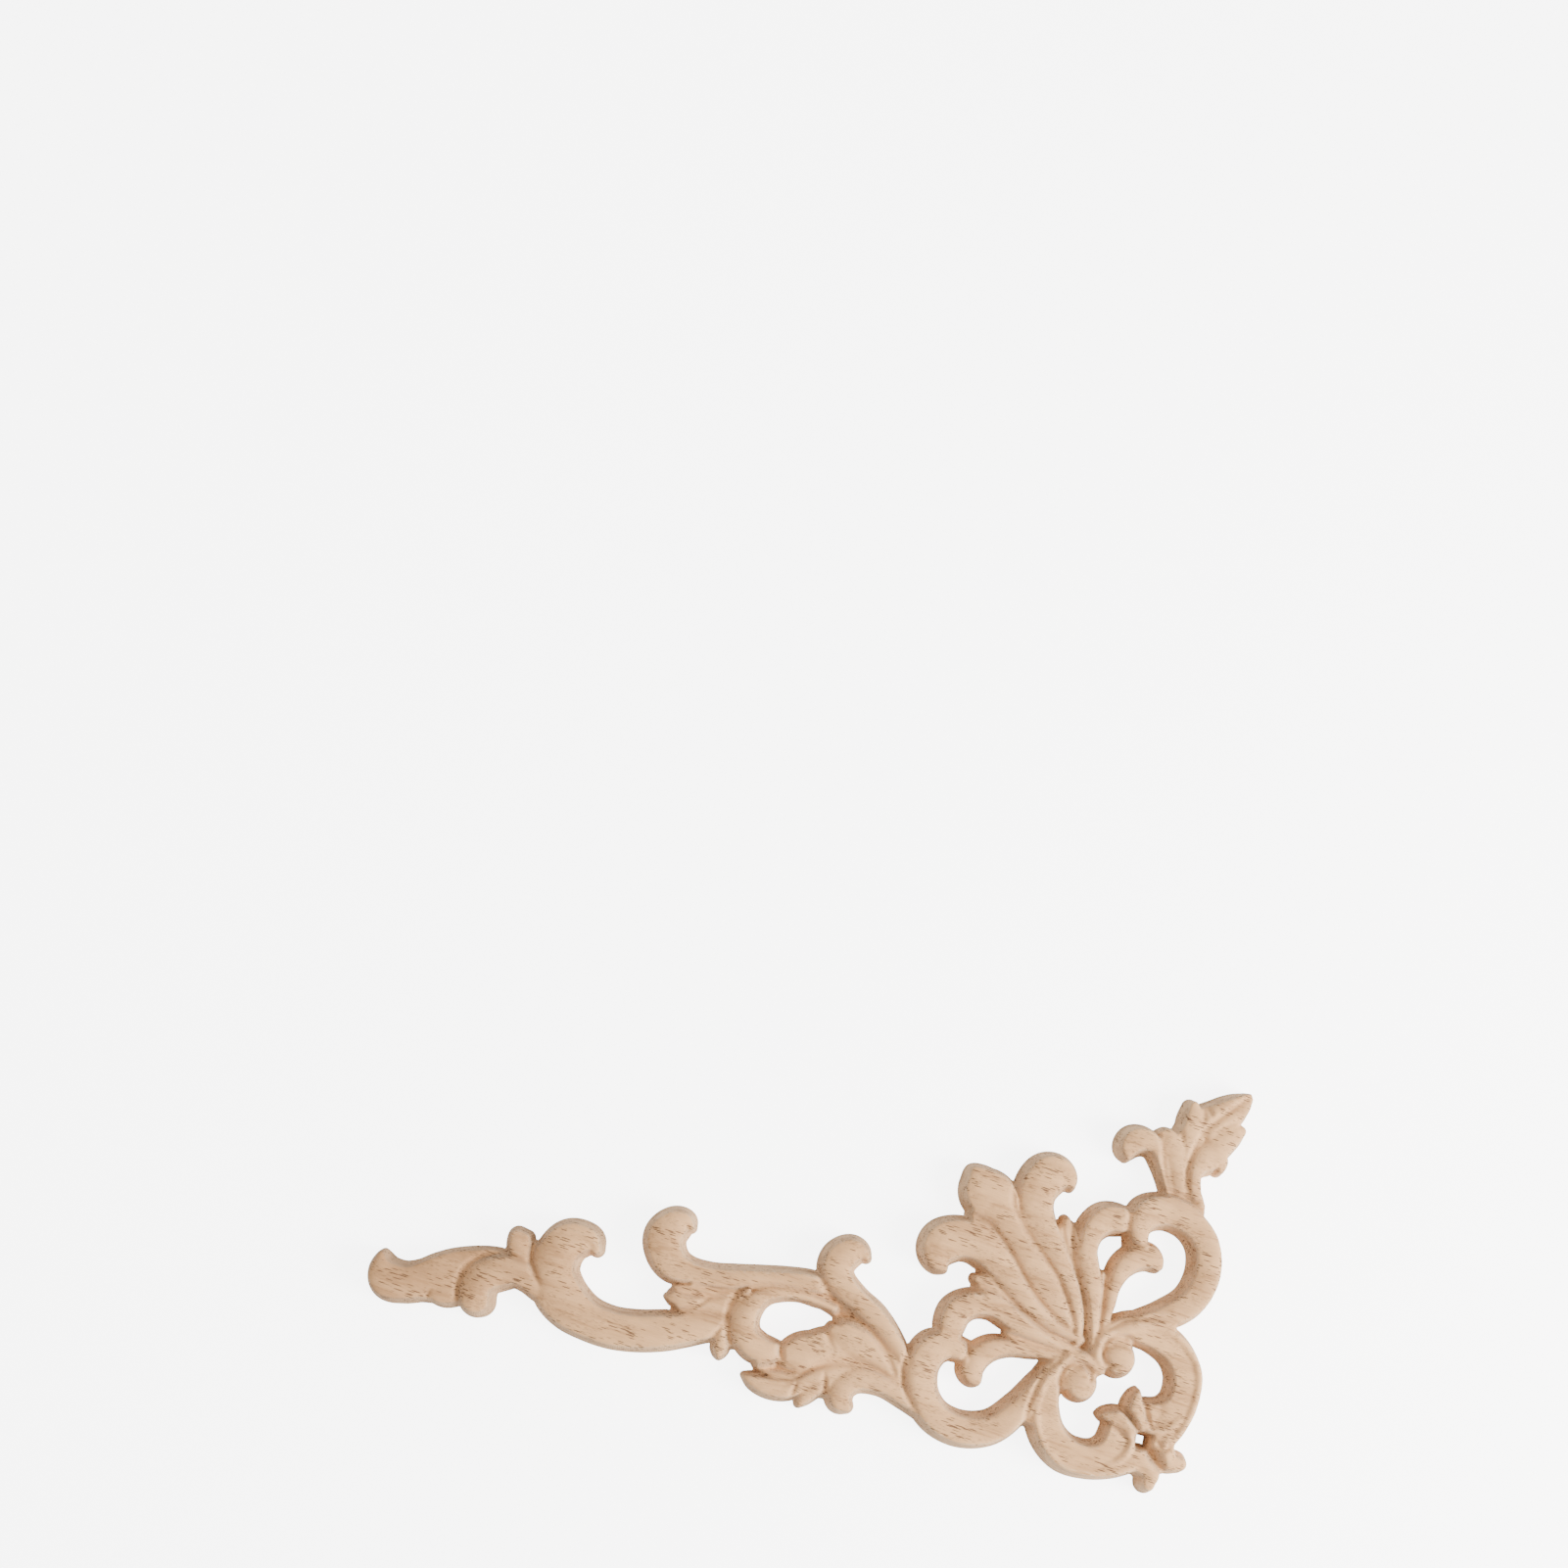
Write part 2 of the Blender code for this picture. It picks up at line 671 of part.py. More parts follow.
CREASES = (
    Crease(
        "curl edge",
        (
            (24.42, 4.39), (23.33, 6.65), (22.74, 9.51), (23.04, 12.27), (24.22, 14.63), (26.39, 16.51),
            (29.34, 17.79), (32.2, 18.38),
        ),
        width=1, depth=1,
    ),
    Crease(
        "bud foot",
        (
            (31.12, 20.15), (32.3, 18.87), (34.86, 18.08), (37.82, 17.79),
        ),
        width=0.8, depth=0.7,
    ),
    Crease(
        "scroll head",
        (
            (39, 24.98), (38.02, 22.72), (37.62, 20.45), (38.21, 18.08), (39.59, 15.92), (41.37, 13.65),
        ),
        width=1, depth=1.1,
    ),
    Crease(
        "scroll lip",
        (
            (53.59, 23.31), (51.42, 24.69), (49.05, 25.97), (45.7, 26.26), (42.35, 26.26),
        ),
        width=0.8, depth=0.45,
    ),
    Crease(
        "curl knob",
        (
            (31.61, 7.54), (30.72, 8.92), (30.23, 11.09),
        ),
        width=0.7, depth=0.5,
    ),
    Crease(
        "tip groove",
        (
            (3.72, 10.89), (8.06, 10.5), (13.97, 10.79), (20.38, 10.89),
        ),
        width=0.7, depth=0.35,
    ),
    Crease(
        "tip groove low",
        (
            (3.33, 6.36), (8.06, 5.76), (13.97, 5.57), (21.36, 5.96),
        ),
        width=0.8, depth=0.3,
    ),
    Crease(
        "under lobe notch",
        (
            (16.34, 3.6), (16.43, 5.17), (17.12, 6.75),
        ),
        width=0.7, depth=0.6,
    ),
    Crease(
        "leaflet top",
        (
            (74.58, 22.32), (79.01, 22.32), (83.45, 22.12), (86.5, 22.81), (89.46, 24.59),
        ),
        width=0.8, depth=0.5,
    ),
    Crease(
        "leaflet mid",
        (
            (72.02, 20.05), (74.58, 19.66), (78.03, 19.86), (81.97, 20.55), (85.42, 21.04),
        ),
        width=0.8, depth=0.8,
    ),
    Crease(
        "leaflet low",
        (
            (72.71, 15.42), (75.07, 15.82), (77.63, 17), (79.61, 18.58), (80.99, 19.96),
        ),
        width=0.8, depth=0.6,
    ),
    Crease(
        "leaflet seam",
        (
            (79.61, 16.61), (82.46, 16.51), (85.72, 16.21),
        ),
        width=0.7, depth=0.4,
    ),
    Crease(
        "ring edge",
        (
            (88.77, 24.29), (86.9, 22.12), (86.11, 19.37), (86.21, 16.41), (87, 13.45), (88.08, 11.48),
            (89.46, 9.61),
        ),
        width=1.15, depth=1.2,
    ),
    Crease(
        "bud side",
        (
            (82.56, 10.5), (83.74, 11.58), (84.73, 13.25), (85.72, 15.42),
        ),
        width=0.8, depth=0.8,
    ),
    Crease(
        "ring crown",
        (
            (88.28, 23.9), (91.33, 25.67), (95.77, 26.36), (101.68, 26.66), (107.59, 26.46),
            (112.03, 25.28),
        ),
        width=0.8, depth=0.5,
    ),
    Crease(
        "ring tail",
        (
            (98.63, 15.13), (99.71, 13.06), (100.5, 11.28), (101.09, 10.5),
        ),
        width=1, depth=1.4,
    ),
    Crease(
        "ring chin",
        (
            (94.59, 7.34), (96.75, 8.23), (99.71, 9.61), (102.67, 10.2), (106.21, 10.1),
        ),
        width=0.7, depth=0.45,
    ),
    Crease(
        "second hook lip",
        (
            (73.1, 33.56), (71.72, 34.84), (69.75, 35.33),
        ),
        width=0.7, depth=0.4,
    ),
    Crease(
        "third hook edge",
        (
            (104.6, 32.1), (105.7, 30.6), (107.2, 28.6), (109.6, 26.8), (112.7, 25.2), (116.6, 23.3),
            (120.6, 20.9), (123.8, 18), (127.4, 13.5),
        ),
        width=1.2, depth=1.1,
    ),
    Crease(
        "back blade edge",
        (
            (109.07, 19.76), (109.86, 18.38), (110.75, 17), (112.52, 15.42),
        ),
        width=0.9, depth=0.8,
    ),
    Crease(
        "back blade top",
        (
            (110.45, 22.03), (112.52, 22.52), (115.08, 22.32), (117.84, 21.34),
        ),
        width=0.8, depth=0.9,
    ),
    Crease(
        "midrib",
        (
            (93.21, 5.67), (96.75, 5.76), (100.7, 6.16), (104.64, 6.95), (106.61, 8.62), (109.07, 10.79),
            (111.73, 12.57), (114.49, 13.65), (118.44, 14.04), (123.36, 13.25), (128.29, 11.28),
        ),
        width=0.9, depth=0.85,
    ),
    Crease(
        "midrib above",
        (
            (105.23, 9.51), (107.79, 10.89), (110.16, 12.66), (112.72, 14.24), (116.46, 15.03),
            (121.39, 14.83),
        ),
        width=0.6, depth=0.4,
    ),
    Crease(
        "leaf vein",
        (
            (94.78, 3.79), (98.72, 4.58), (102.27, 4.78), (104.64, 5.76),
        ),
        width=0.7, depth=0.4,
    ),
    Crease(
        "leaf vein low",
        (
            (98.23, 2.61), (101.68, 3.4), (104.64, 3.99),
        ),
        width=0.7, depth=0.3,
    ),
    Crease(
        "leaf split one",
        (
            (104.74, 1.82), (105.03, 3.79), (105.43, 6.16),
        ),
        width=0.8, depth=0.9,
    ),
    Crease(
        "leaf split two",
        (
            (111.64, 3.5), (112.03, 5.57), (111.83, 7.74), (111.14, 9.71),
        ),
        width=0.9, depth=1,
    ),
    Crease(
        "blade vein",
        (
            (103.46, 16.51), (105.23, 15.92), (107.4, 14.93),
        ),
        width=0.7, depth=0.5,
    ),
    Crease(
        "loop foot",
        (
            (129.2, 21), (128.8, 17), (129.4, 13.2), (131.4, 9.2), (134.2, 6.4),
        ),
        width=0.9, depth=0.9, twin=LOOPS,
    ),
    Crease(
        "loop top",
        (
            (134.4, 26.6), (137, 25.7), (140, 25.5), (142.2, 24.9),
        ),
        width=0.9, depth=0.9, twin=LOOPS,
    ),
    Crease(
        "inner leaf edge",
        (
            (142.2, 26), (143, 23.6), (142.8, 21.6), (141.8, 19.8), (140.5, 18.7),
        ),
        width=0.8, depth=0.8, twin=LOOPS,
    ),
    Crease(
        "inner leaf top",
        (
            (148.6, 28.9), (153, 28.5), (158, 28), (163.5, 27.6),
        ),
        width=0.8, depth=0.7, twin=LOOPS,
    ),
    Crease(
        "bud low",
        (
            (140.6, 37.5), (146, 37.1), (151, 35.4), (156, 32.6), (161, 30.4), (165, 29.1), (168.4, 28.6),
        ),
        width=0.75, depth=0.5, twin=PALMETTE,
    ),
    Crease(
        "bud high",
        (
            (141.8, 40.8), (145.3, 39.8), (149.3, 37.2), (153.2, 34.8), (157.1, 32.6), (161.1, 31.2),
            (165.6, 30.2), (169.8, 29.4),
        ),
        width=0.8, twin=PALMETTE,
    ),
    Crease(
        "petal edge",
        (
            (135.6, 53.4), (138.5, 53.2), (141.4, 52.4), (145.3, 49.6), (149.3, 45.6), (152.2, 42.2),
            (155.2, 38.9), (159.2, 36.1), (163.2, 33.9), (166.4, 32.7),
        ),
        depth=0.8, twin=PALMETTE,
    ),
    Crease(
        "scroll and loop",
        (
            (160.3, 8), (159.3, 11), (159.4, 14.5), (160.2, 18), (161.6, 22), (164.6, 25.8),
        ),
        width=0.9, depth=0.9, twin=SCROLLS,
    ),
    Crease(
        "volute edge",
        (
            (166.82, 18.08), (165.44, 20.15), (165.35, 22.72), (166.33, 24.69), (168.01, 25.87),
            (169.78, 25.97), (171.36, 25.18), (172.34, 23.9), (172.15, 22.62),
        ),
        width=0.95, depth=1.2, twin=SCROLLS,
    ),
    Crease(
        "ear step",
        (
            (178.35, 13.94), (180.33, 13.45), (182.1, 12.66), (183.48, 11.78),
        ),
        width=0.8, depth=1, twin=SCROLLS,
    ),
    Crease(
        "toe valley",
        (
            (187.8, 12), (190, 10), (192.9, 6.7),
        ),
        width=2.1, depth=2.8,
    ),
    Crease(
        "ear valley",
        (
            (179.44, 19.17), (181.9, 17.79), (183.87, 16.11), (185.84, 14.04),
        ),
        width=1.1, depth=2.2,
    ),
    Crease(
        "tie end",
        (
            (189.59, 13.35), (190.97, 12.37), (192.25, 11.48), (193.33, 12.47), (194.62, 13.45),
        ),
        width=0.8, depth=1,
    ),
    Crease(
        "tie end low",
        (
            (185.35, 5.27), (187.42, 5.96), (189.98, 5.27),
        ),
        width=0.7, depth=0.3,
    ),
    Crease(
        "sprig hook edge",
        (
            (182.79, 69.23), (181.21, 71.99), (179.83, 75.34), (179.04, 78.69), (177.96, 81.65),
            (176.28, 83.52),
        ),
        width=0.9, depth=0.9,
    ),
    Crease(
        "sprig midrib",
        (
            (188.1, 68.8), (186.3, 72), (185.7, 75.4), (185.9, 79.4), (186.8, 83.3), (188.8, 87.3),
            (191.6, 90.7), (194.6, 93.8), (197.6, 97.2),
        ),
    ),
    Crease(
        "sprig split",
        (
            (187.4, 92.4), (188.4, 90.8), (189.2, 89.4),
        ),
    ),
    Crease(
        "sprig left split",
        (
            (181.3, 86), (182.6, 84.6), (183.2, 82),
        ),
        width=0.7, depth=0.5,
    ),
    Crease(
        "sprig right split",
        (
            (198.4, 91.2), (195, 89.6), (192.5, 88), (190.5, 86.4),
        ),
        width=0.7, depth=0.5,
    ),
    Crease(
        "sprig foot",
        (
            (180.2, 69.9), (184, 69.3), (188, 68.9), (192.4, 69.6),
        ),
        width=0.9, depth=0.6,
    ),
)

CORNER_PIT = Pit(x=187.5, y=12.2, half_x=0.95, half_y=1.1, run=1.2)


class Relief:
    """The carving's height over a grid of points, in the drawing's millimetres.

    Attributes:
        step: distance between the grid's points.
        x: the grid's columns.
        y: the grid's rows.
        height: height of the surface at each point, below zero outside the wood.
    """

    def __init__(self, step: float) -> None:
        """Lay out an empty grid.

        Args:
            step: distance between its points.
        """
        self.step = step
        self.x = np.arange(-MARGIN, DRAWN_LENGTH + MARGIN + step, step)
        self.y = np.arange(-MARGIN, DRAWN_WIDTH + MARGIN + step, step)
        self.top = np.full((len(self.y), len(self.x)), DEEP)
        self.wall = np.full((len(self.y), len(self.x)), DEEP)
        self.height = self.top

    def window(self, low: np.ndarray, high: np.ndarray) -> tuple[slice, slice]:
        """Find the grid's rows and columns between two corners.

        Args:
            low: lowest x and y.
            high: highest x and y.

        Returns:
            The slice of rows and the slice of columns.
        """
        columns = np.searchsorted(self.x, (low[0], high[0]))
        rows = np.searchsorted(self.y, (low[1], high[1]))
        return slice(int(rows[0]), int(rows[1])), slice(int(columns[0]), int(columns[1]))

    def sweep(self, stations: np.ndarray, lean: float, reach: float) -> tuple:
        """Measure how far each point lies from a swept row of discs.

        Args:
            stations: rows of x, y, half width and crest height.
            lean: how far the discs' crest lies left of the path, in half widths.
            reach: how far outside the discs to measure.

        Returns:
            The window, then arrays over it: the share of the way from crest to edge, the half width
            and the crest there, the distance outside the discs, and the crest of the nearest disc.
        """
        path = smooth_path(stations, PATH_STEP)
        path[:, 2] = np.maximum(path[:, 2], THINNEST)
        along = np.gradient(path[:, :2], axis=0) if len(path) > 1 else np.array([[1.0, 0.0]])
        along /= np.maximum(np.linalg.norm(along, axis=1), TINY)[:, None]
        aside = np.stack([-along[:, 1], along[:, 0]], axis=1) * lean * path[:, 2:3]
        size = path[:, 2:3] + reach
        window = self.window((path[:, :2] - size).min(axis=0), (path[:, :2] + size).max(axis=0))
        shape = self.top[window].shape
        share, gap = np.full(shape, FAR), np.full(shape, FAR)
        width, crest, near = np.ones(shape), np.zeros(shape), np.zeros(shape)
        for (x, y, radius, z), (off_x, off_y) in zip(path, aside):
            spot = np.array((x, y))
            rows, columns = self.window(spot - (radius + reach), spot + (radius + reach))
            part = (
                slice(rows.start - window[0].start, rows.stop - window[0].start),
                slice(columns.start - window[1].start, columns.stop - window[1].start),
            )
            dx = self.x[columns][None, :] - x
            dy = self.y[rows][:, None] - y
            away = np.hypot(dx, dy) - radius
            closer = away < gap[part]
            gap[part] = np.where(closer, away, gap[part])
            near[part] = np.where(closer, z, near[part])
            lx, ly = dx - off_x, dy - off_y
            square = lx * lx + ly * ly
            dot = lx * off_x + ly * off_y
            root = np.sqrt(dot * dot + square * (radius * radius - off_x * off_x - off_y * off_y))
            ratio = square / np.maximum(root - dot, TINY)
            better = ratio < share[part]
            share[part] = np.where(better, ratio, share[part])
            width[part] = np.where(better, radius, width[part])
            crest[part] = np.where(better, z, crest[part])
        return window, np.minimum(share, 1), width, crest, gap, near

    def add(self, stations: np.ndarray, crown: float, bulge: float, lean: float) -> None:
        """Add a stroke: its domed top, and the steep wall round it.

        Args:
            stations: rows of x, y, half width and crest height.
            crown: drop from the crest to the edge.
            bulge: 2 for a round top, more for a flatter one.
            lean: how far the crest lies left of the path, in half widths.
        """
        window, share, width, crest, gap, near = self.sweep(stations, lean, REACH)
        dome = crest - crown * (1 - np.maximum(1 - share**bulge, 0) ** EASE)
        top = np.where(gap > 0, near - crown - SKIRT_FALL * gap, dome)
        top = np.where(gap < FAR, top, DEEP)
        self.top[window] = np.maximum(self.top[window], top)
        self.add_wall(window, width, gap)

    def add_wall(self, window: tuple[slice, slice], width: np.ndarray, gap: np.ndarray) -> None:
        """Raise the steep wall that bounds the wood.

        Args:
            window: the rows and columns.
            width: half width of the stroke at each point.
            gap: distance outside the stroke's edge.
        """
        run = np.where(gap > 0, WALL_RUN, np.minimum(WALL_RUN, NARROW_RUN * width))
        wall = np.where(gap < FAR, -gap * SHOULDER / run, DEEP)
        self.wall[window] = np.maximum(self.wall[window], wall)

    def cut(self, points: np.ndarray, width: float, depth: float) -> None:
        """Cut a V crease that runs out at its ends.

        Args:
            points: rows of x and y.
            width: half width at the surface.
            depth: depth at its middle.
        """
        last = len(points) - 1
        fade = np.array([min(1, i, last - i) for i in range(last + 1)], float)
        widths = width * (CREASE_END_WIDTH + (1 - CREASE_END_WIDTH) * fade)
        depths = depth * (CREASE_END_DEPTH + (1 - CREASE_END_DEPTH) * fade)
        stations = np.column_stack([points, widths, depths])
        window, share, _, dent, _, _ = self.sweep(stations, 0.0, CREASE_REACH)
        part = self.height[window]
        cut = np.maximum(part - dent * (1 - share), np.minimum(part, CREASE_FLOOR))
        self.height[window] = np.where(part > 0, cut, part)

    def drill(self, pit: Pit) -> None:
        """Sink a square hole.

        Args:
            pit: its place and size.
        """
        outside_x = np.abs(self.x[None, :] - pit.x) - pit.half_x
        outside_y = np.abs(self.y[:, None] - pit.y) - pit.half_y
        side = np.maximum(outside_x, outside_y) * CREST / pit.run
        self.height = np.minimum(self.height, side)

    def carve(self) -> np.ndarray:
        """Carve the whole drawing.

        Returns:
            The height at each point, in millimetres.
        """
        for stroke in STROKES:
            leans = (stroke.lean, -stroke.lean)
            for path, lean in zip(with_twin(np.array(stroke.path), stroke.twin), leans):
                self.add(path, stroke.crown, stroke.bulge, lean)
        for core in CORES:
            for path in with_twin(np.array([(*station, 0.0) for station in core.path]), core.twin):
                window, _, width, _, gap, _ = self.sweep(path, 0.0, REACH)
                self.add_wall(window, width, gap)
        self.height = np.minimum(self.top, self.wall)
        for crease in CREASES:
            for path in with_twin(np.array(crease.points), crease.twin):
                self.cut(path, crease.width, crease.depth)
        self.drill(CORNER_PIT)
        return self.height

# The solid, in metres

UNIT = LENGTH / DRAWN_LENGTH
ORIGIN_X = 172.0  # in the drawing
ORIGIN_Y = 27.0
OUTSIDE = -1.6  # height of the block's top beyond the wood, in the drawing
UNDERSIDE = -4.0  # height of the block's underside, in the drawing
BOX_TOP = 12.0  # height of the box that trims the block, in the drawing
SMOOTH_ANGLE = math.radians(38)
NAME = "corner_onlay"


def remove_everything() -> None:
    """Start from an empty scene."""
    for thing in list(bpy.data.objects):
        bpy.data.objects.remove(thing)


def new_collection(name: str) -> bpy.types.Collection:
    """Make a collection in the scene.

    Args:
        name: its name.

    Returns:
        The collection.
    """
    collection = bpy.data.collections.new(name)
    bpy.context.scene.collection.children.link(collection)
    return collection


def wood() -> bpy.types.Material:
    """Make the raw wood's material.

    Returns:
        The material.
    """
    material = bpy.data.materials.new("raw_wood")
    material.use_nodes = True
    shader = material.node_tree.nodes["Principled BSDF"]
    shader.inputs["Base Color"].default_value = WOOD_COLOUR
    shader.inputs["Roughness"].default_value = WOOD_ROUGHNESS
    return material


def block_faces(rows: int, columns: int) -> np.ndarray:
    """List the faces of a block with a gridded top, a gridded underside and four sides.

    Args:
        rows: points of the grid along Y.
        columns: points of the grid along X.

    Returns:
        Four points for each face, counted from outside. The underside's points follow the top's.
    """
    count = rows * columns
    corners = (np.arange(rows - 1)[:, None] * columns + np.arange(columns - 1)).ravel()
    top = np.stack([corners, corners + 1, corners + columns + 1, corners + columns], axis=1)
    along, up = np.arange(columns - 1), np.arange(rows - 1)
    border = np.concatenate([along, up * columns + columns - 1, count - 1 - along, (rows - 1 - up) * columns])
    following = np.roll(border, -1)
    sides = np.stack([border + count, following + count, following, border], axis=1)
    return np.vstack([top, top[:, ::-1] + count, sides])


def carved_block() -> bpy.types.Object:
    """Make a closed block whose top is the carving and whose underside lies below the back.

    Returns:
        The block.
    """
    relief = Relief(GRID / UNIT)
    height = np.maximum(relief.carve(), OUTSIDE)
    x, y = np.meshgrid(relief.x - ORIGIN_X, relief.y - ORIGIN_Y)
    top = np.column_stack([x.ravel(), y.ravel(), height.ravel()])
    underside = np.column_stack([top[:, :2], np.full(len(top), UNDERSIDE)])
    points = np.vstack([top, underside]) * UNIT
    faces = block_faces(*height.shape)
    mesh = bpy.data.meshes.new(NAME)
    mesh.from_pydata(points.tolist(), [], faces.tolist())
    block = bpy.data.objects.new(NAME, mesh)
    thin = block.modifiers.new("thin", "DECIMATE")
    thin.ratio = TRIANGLES / (2 * len(faces))
    return block


def trimming_box() -> bpy.types.Object:
    """Make the box that leaves only what lies above the back.

    Returns:
        The box, drawn as a wire.
    """
    bm = bmesh.new()
    bmesh.ops.create_cube(bm, size=1.0)
    long_side = (DRAWN_LENGTH + 4 * MARGIN) * UNIT
    short_side = (DRAWN_WIDTH + 4 * MARGIN) * UNIT
    bmesh.ops.scale(bm, vec=(long_side, short_side, BOX_TOP * UNIT), verts=bm.verts)
    middle = (
        (DRAWN_LENGTH / 2 - ORIGIN_X) * UNIT,
        (DRAWN_WIDTH / 2 - ORIGIN_Y) * UNIT,
        BOX_TOP * UNIT / 2,
    )
    bmesh.ops.translate(bm, vec=middle, verts=bm.verts)
    mesh = bpy.data.meshes.new("trimming_box")
    bm.to_mesh(mesh)
    bm.free()
    box = bpy.data.objects.new("trimming_box", mesh)
    box.hide_render = True
    box.display_type = "WIRE"
    return box


def main() -> None:
    """Carve the onlay."""
    remove_everything()
    parts = new_collection("corner onlay")
    cutters = new_collection("cutters")
    box = trimming_box()
    cutters.objects.link(box)
    onlay = carved_block()
    parts.objects.link(onlay)
    trim = onlay.modifiers.new("flat back", "BOOLEAN")
    trim.operation = "INTERSECT"
    trim.solver = "MANIFOLD"
    trim.object = box
    onlay.data.materials.append(wood())
    onlay.data.shade_smooth()
    onlay.data.set_sharp_from_angle(angle=SMOOTH_ANGLE)


main()
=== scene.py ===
"""Looks of the carved wooden corner onlay.

The whole carving is one piece of raw, pale wood. Its strokes, leaves and creases are swept over a fine grid,
trimmed at the flat back, marked by the cutter and dressed as sanded wood with open pores.
"""

import logging
import math
from dataclasses import dataclass, field
from enum import Enum

import bmesh
import bpy
import numpy as np
from mathutils import Matrix, Vector

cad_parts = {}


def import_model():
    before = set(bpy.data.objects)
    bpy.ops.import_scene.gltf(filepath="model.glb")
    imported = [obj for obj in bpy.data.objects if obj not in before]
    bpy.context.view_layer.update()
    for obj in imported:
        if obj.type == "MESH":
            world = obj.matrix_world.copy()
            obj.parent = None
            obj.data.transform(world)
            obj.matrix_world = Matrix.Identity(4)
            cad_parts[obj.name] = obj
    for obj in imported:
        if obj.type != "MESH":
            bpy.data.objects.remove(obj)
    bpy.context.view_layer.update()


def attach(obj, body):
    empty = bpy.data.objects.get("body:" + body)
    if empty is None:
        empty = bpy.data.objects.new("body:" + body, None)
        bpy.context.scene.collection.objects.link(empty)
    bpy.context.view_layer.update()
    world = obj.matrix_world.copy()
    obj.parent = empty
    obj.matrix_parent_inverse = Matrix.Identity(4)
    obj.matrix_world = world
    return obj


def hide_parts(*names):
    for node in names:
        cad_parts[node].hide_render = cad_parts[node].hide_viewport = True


LOG = logging.getLogger("onlay")
NODE = "corner_onlay"
BODY = "root"

# The drawing: what was carved, in millimetres, for a piece 200 long

DRAWN_LENGTH = 200.0
DRAWN_WIDTH = 98.5
MARGIN = 3.0  # free room round the drawing
CREST = 7.8  # usual height of a stroke's crest
SHOULDER = 5.6  # height of the steep walls
WALL_RUN = 1.1  # how far a wall leans in over that height
SKIRT_FALL = 2.0  # steepness of a stroke's side where it runs down onto its neighbour
EASE = 0.7  # how fully a stroke's top is rounded
REACH = 1.6  # how far outside its edge a stroke is worked out
NARROW_RUN = 0.4  # a narrow stroke's wall leans in over this share of its half width
THINNEST = 0.05  # least half width along a path
CREASE_REACH = 0.3  # how far outside its edge a crease is worked out
CREASE_END_WIDTH = 0.6  # share of a crease's width that is left at its ends
CREASE_END_DEPTH = 0.45  # share of its depth there
CREASE_FLOOR = 0.2  # least wood left under a crease
PATH_STEP = 0.3  # distance between the points of a smooth path
DEEP = -6.0  # height where there is no wood
FAR = 9.0  # stands for a place that no stroke reaches
TINY = 1e-9  # keeps a division from failing

Station = tuple[float, float, float, float]


@dataclass(frozen=True)
class Fold:
    """Mirrors a group of strokes onto the corner's other half.

    Attributes:
        x: a stroke's y taken from this gives its twin's x.
        y: a stroke's x taken from this gives its twin's y.
    """

    x: float
    y: float


# The groups' middles lie a little apart, as they do on a piece that is finished by hand
PALMETTE = Fold(199.0, 199.1)
LOOPS = Fold(199.7, 198.7)
SCROLLS = Fold(199.9, 199.6)


@dataclass(frozen=True)
class Stroke:
    """One rounded stroke of the carving, a dome swept along a path.

    Attributes:
        name: what a carver would call it.
        path: stations of x, y, half width and crest height.
        crown: drop from the crest to the stroke's edge.
        bulge: 2 for a round top, more for a flatter one.
        lean: how far the crest lies left of the path, in half widths.
        twin: how it is mirrored onto the corner's other half, if it is.
    """

    name: str
    path: tuple[Station, ...]
    crown: float = 2.0
    bulge: float = 2.0
    lean: float = 0.0
    twin: Fold | None = None


@dataclass(frozen=True)
class Core:
    """Solid wood under the place where strokes meet, so that no joint is cut right through.

    Attributes:
        name: what it joins.
        path: stations of x, y and half width.
        twin: how it is mirrored onto the corner's other half, if it is.
    """

    name: str
    path: tuple[tuple[float, float, float], ...]
    twin: Fold | None = None


@dataclass(frozen=True)
class Crease:
    """A narrow V cut along the edge of a stroke or down a leaf.

    Attributes:
        name: where it runs.
        points: its x and y points.
        width: half width at the surface.
        depth: depth at its middle.
        twin: how it is mirrored onto the corner's other half, if it is.
    """

    name: str
    points: tuple[tuple[float, float], ...]
    width: float = 0.85
    depth: float = 0.75
    twin: Fold | None = None


@dataclass(frozen=True)
class Pit:
    """A small square hole with sloping sides.

    Attributes:
        x: middle along the long arm.
        y: middle along the short arm.
        half_x: half its width at the back.
        half_y: half its height at the back.
        run: how far its sides lean out over the thickness.
    """

    x: float
    y: float
    half_x: float
    half_y: float
    run: float


def with_twin(path: np.ndarray, fold: Fold | None) -> list[np.ndarray]:
    """Give a path, and its twin on the corner's other half if it has one.

    Args:
        path: rows that start with x and y.
        fold: how it is mirrored, if it is.

    Returns:
        The path, then its twin.
    """
    if fold is None:
        return [path]
    other = path.copy()
    other[:, 0] = fold.x - path[:, 1]
    other[:, 1] = fold.y - path[:, 0]
    return [path, other]


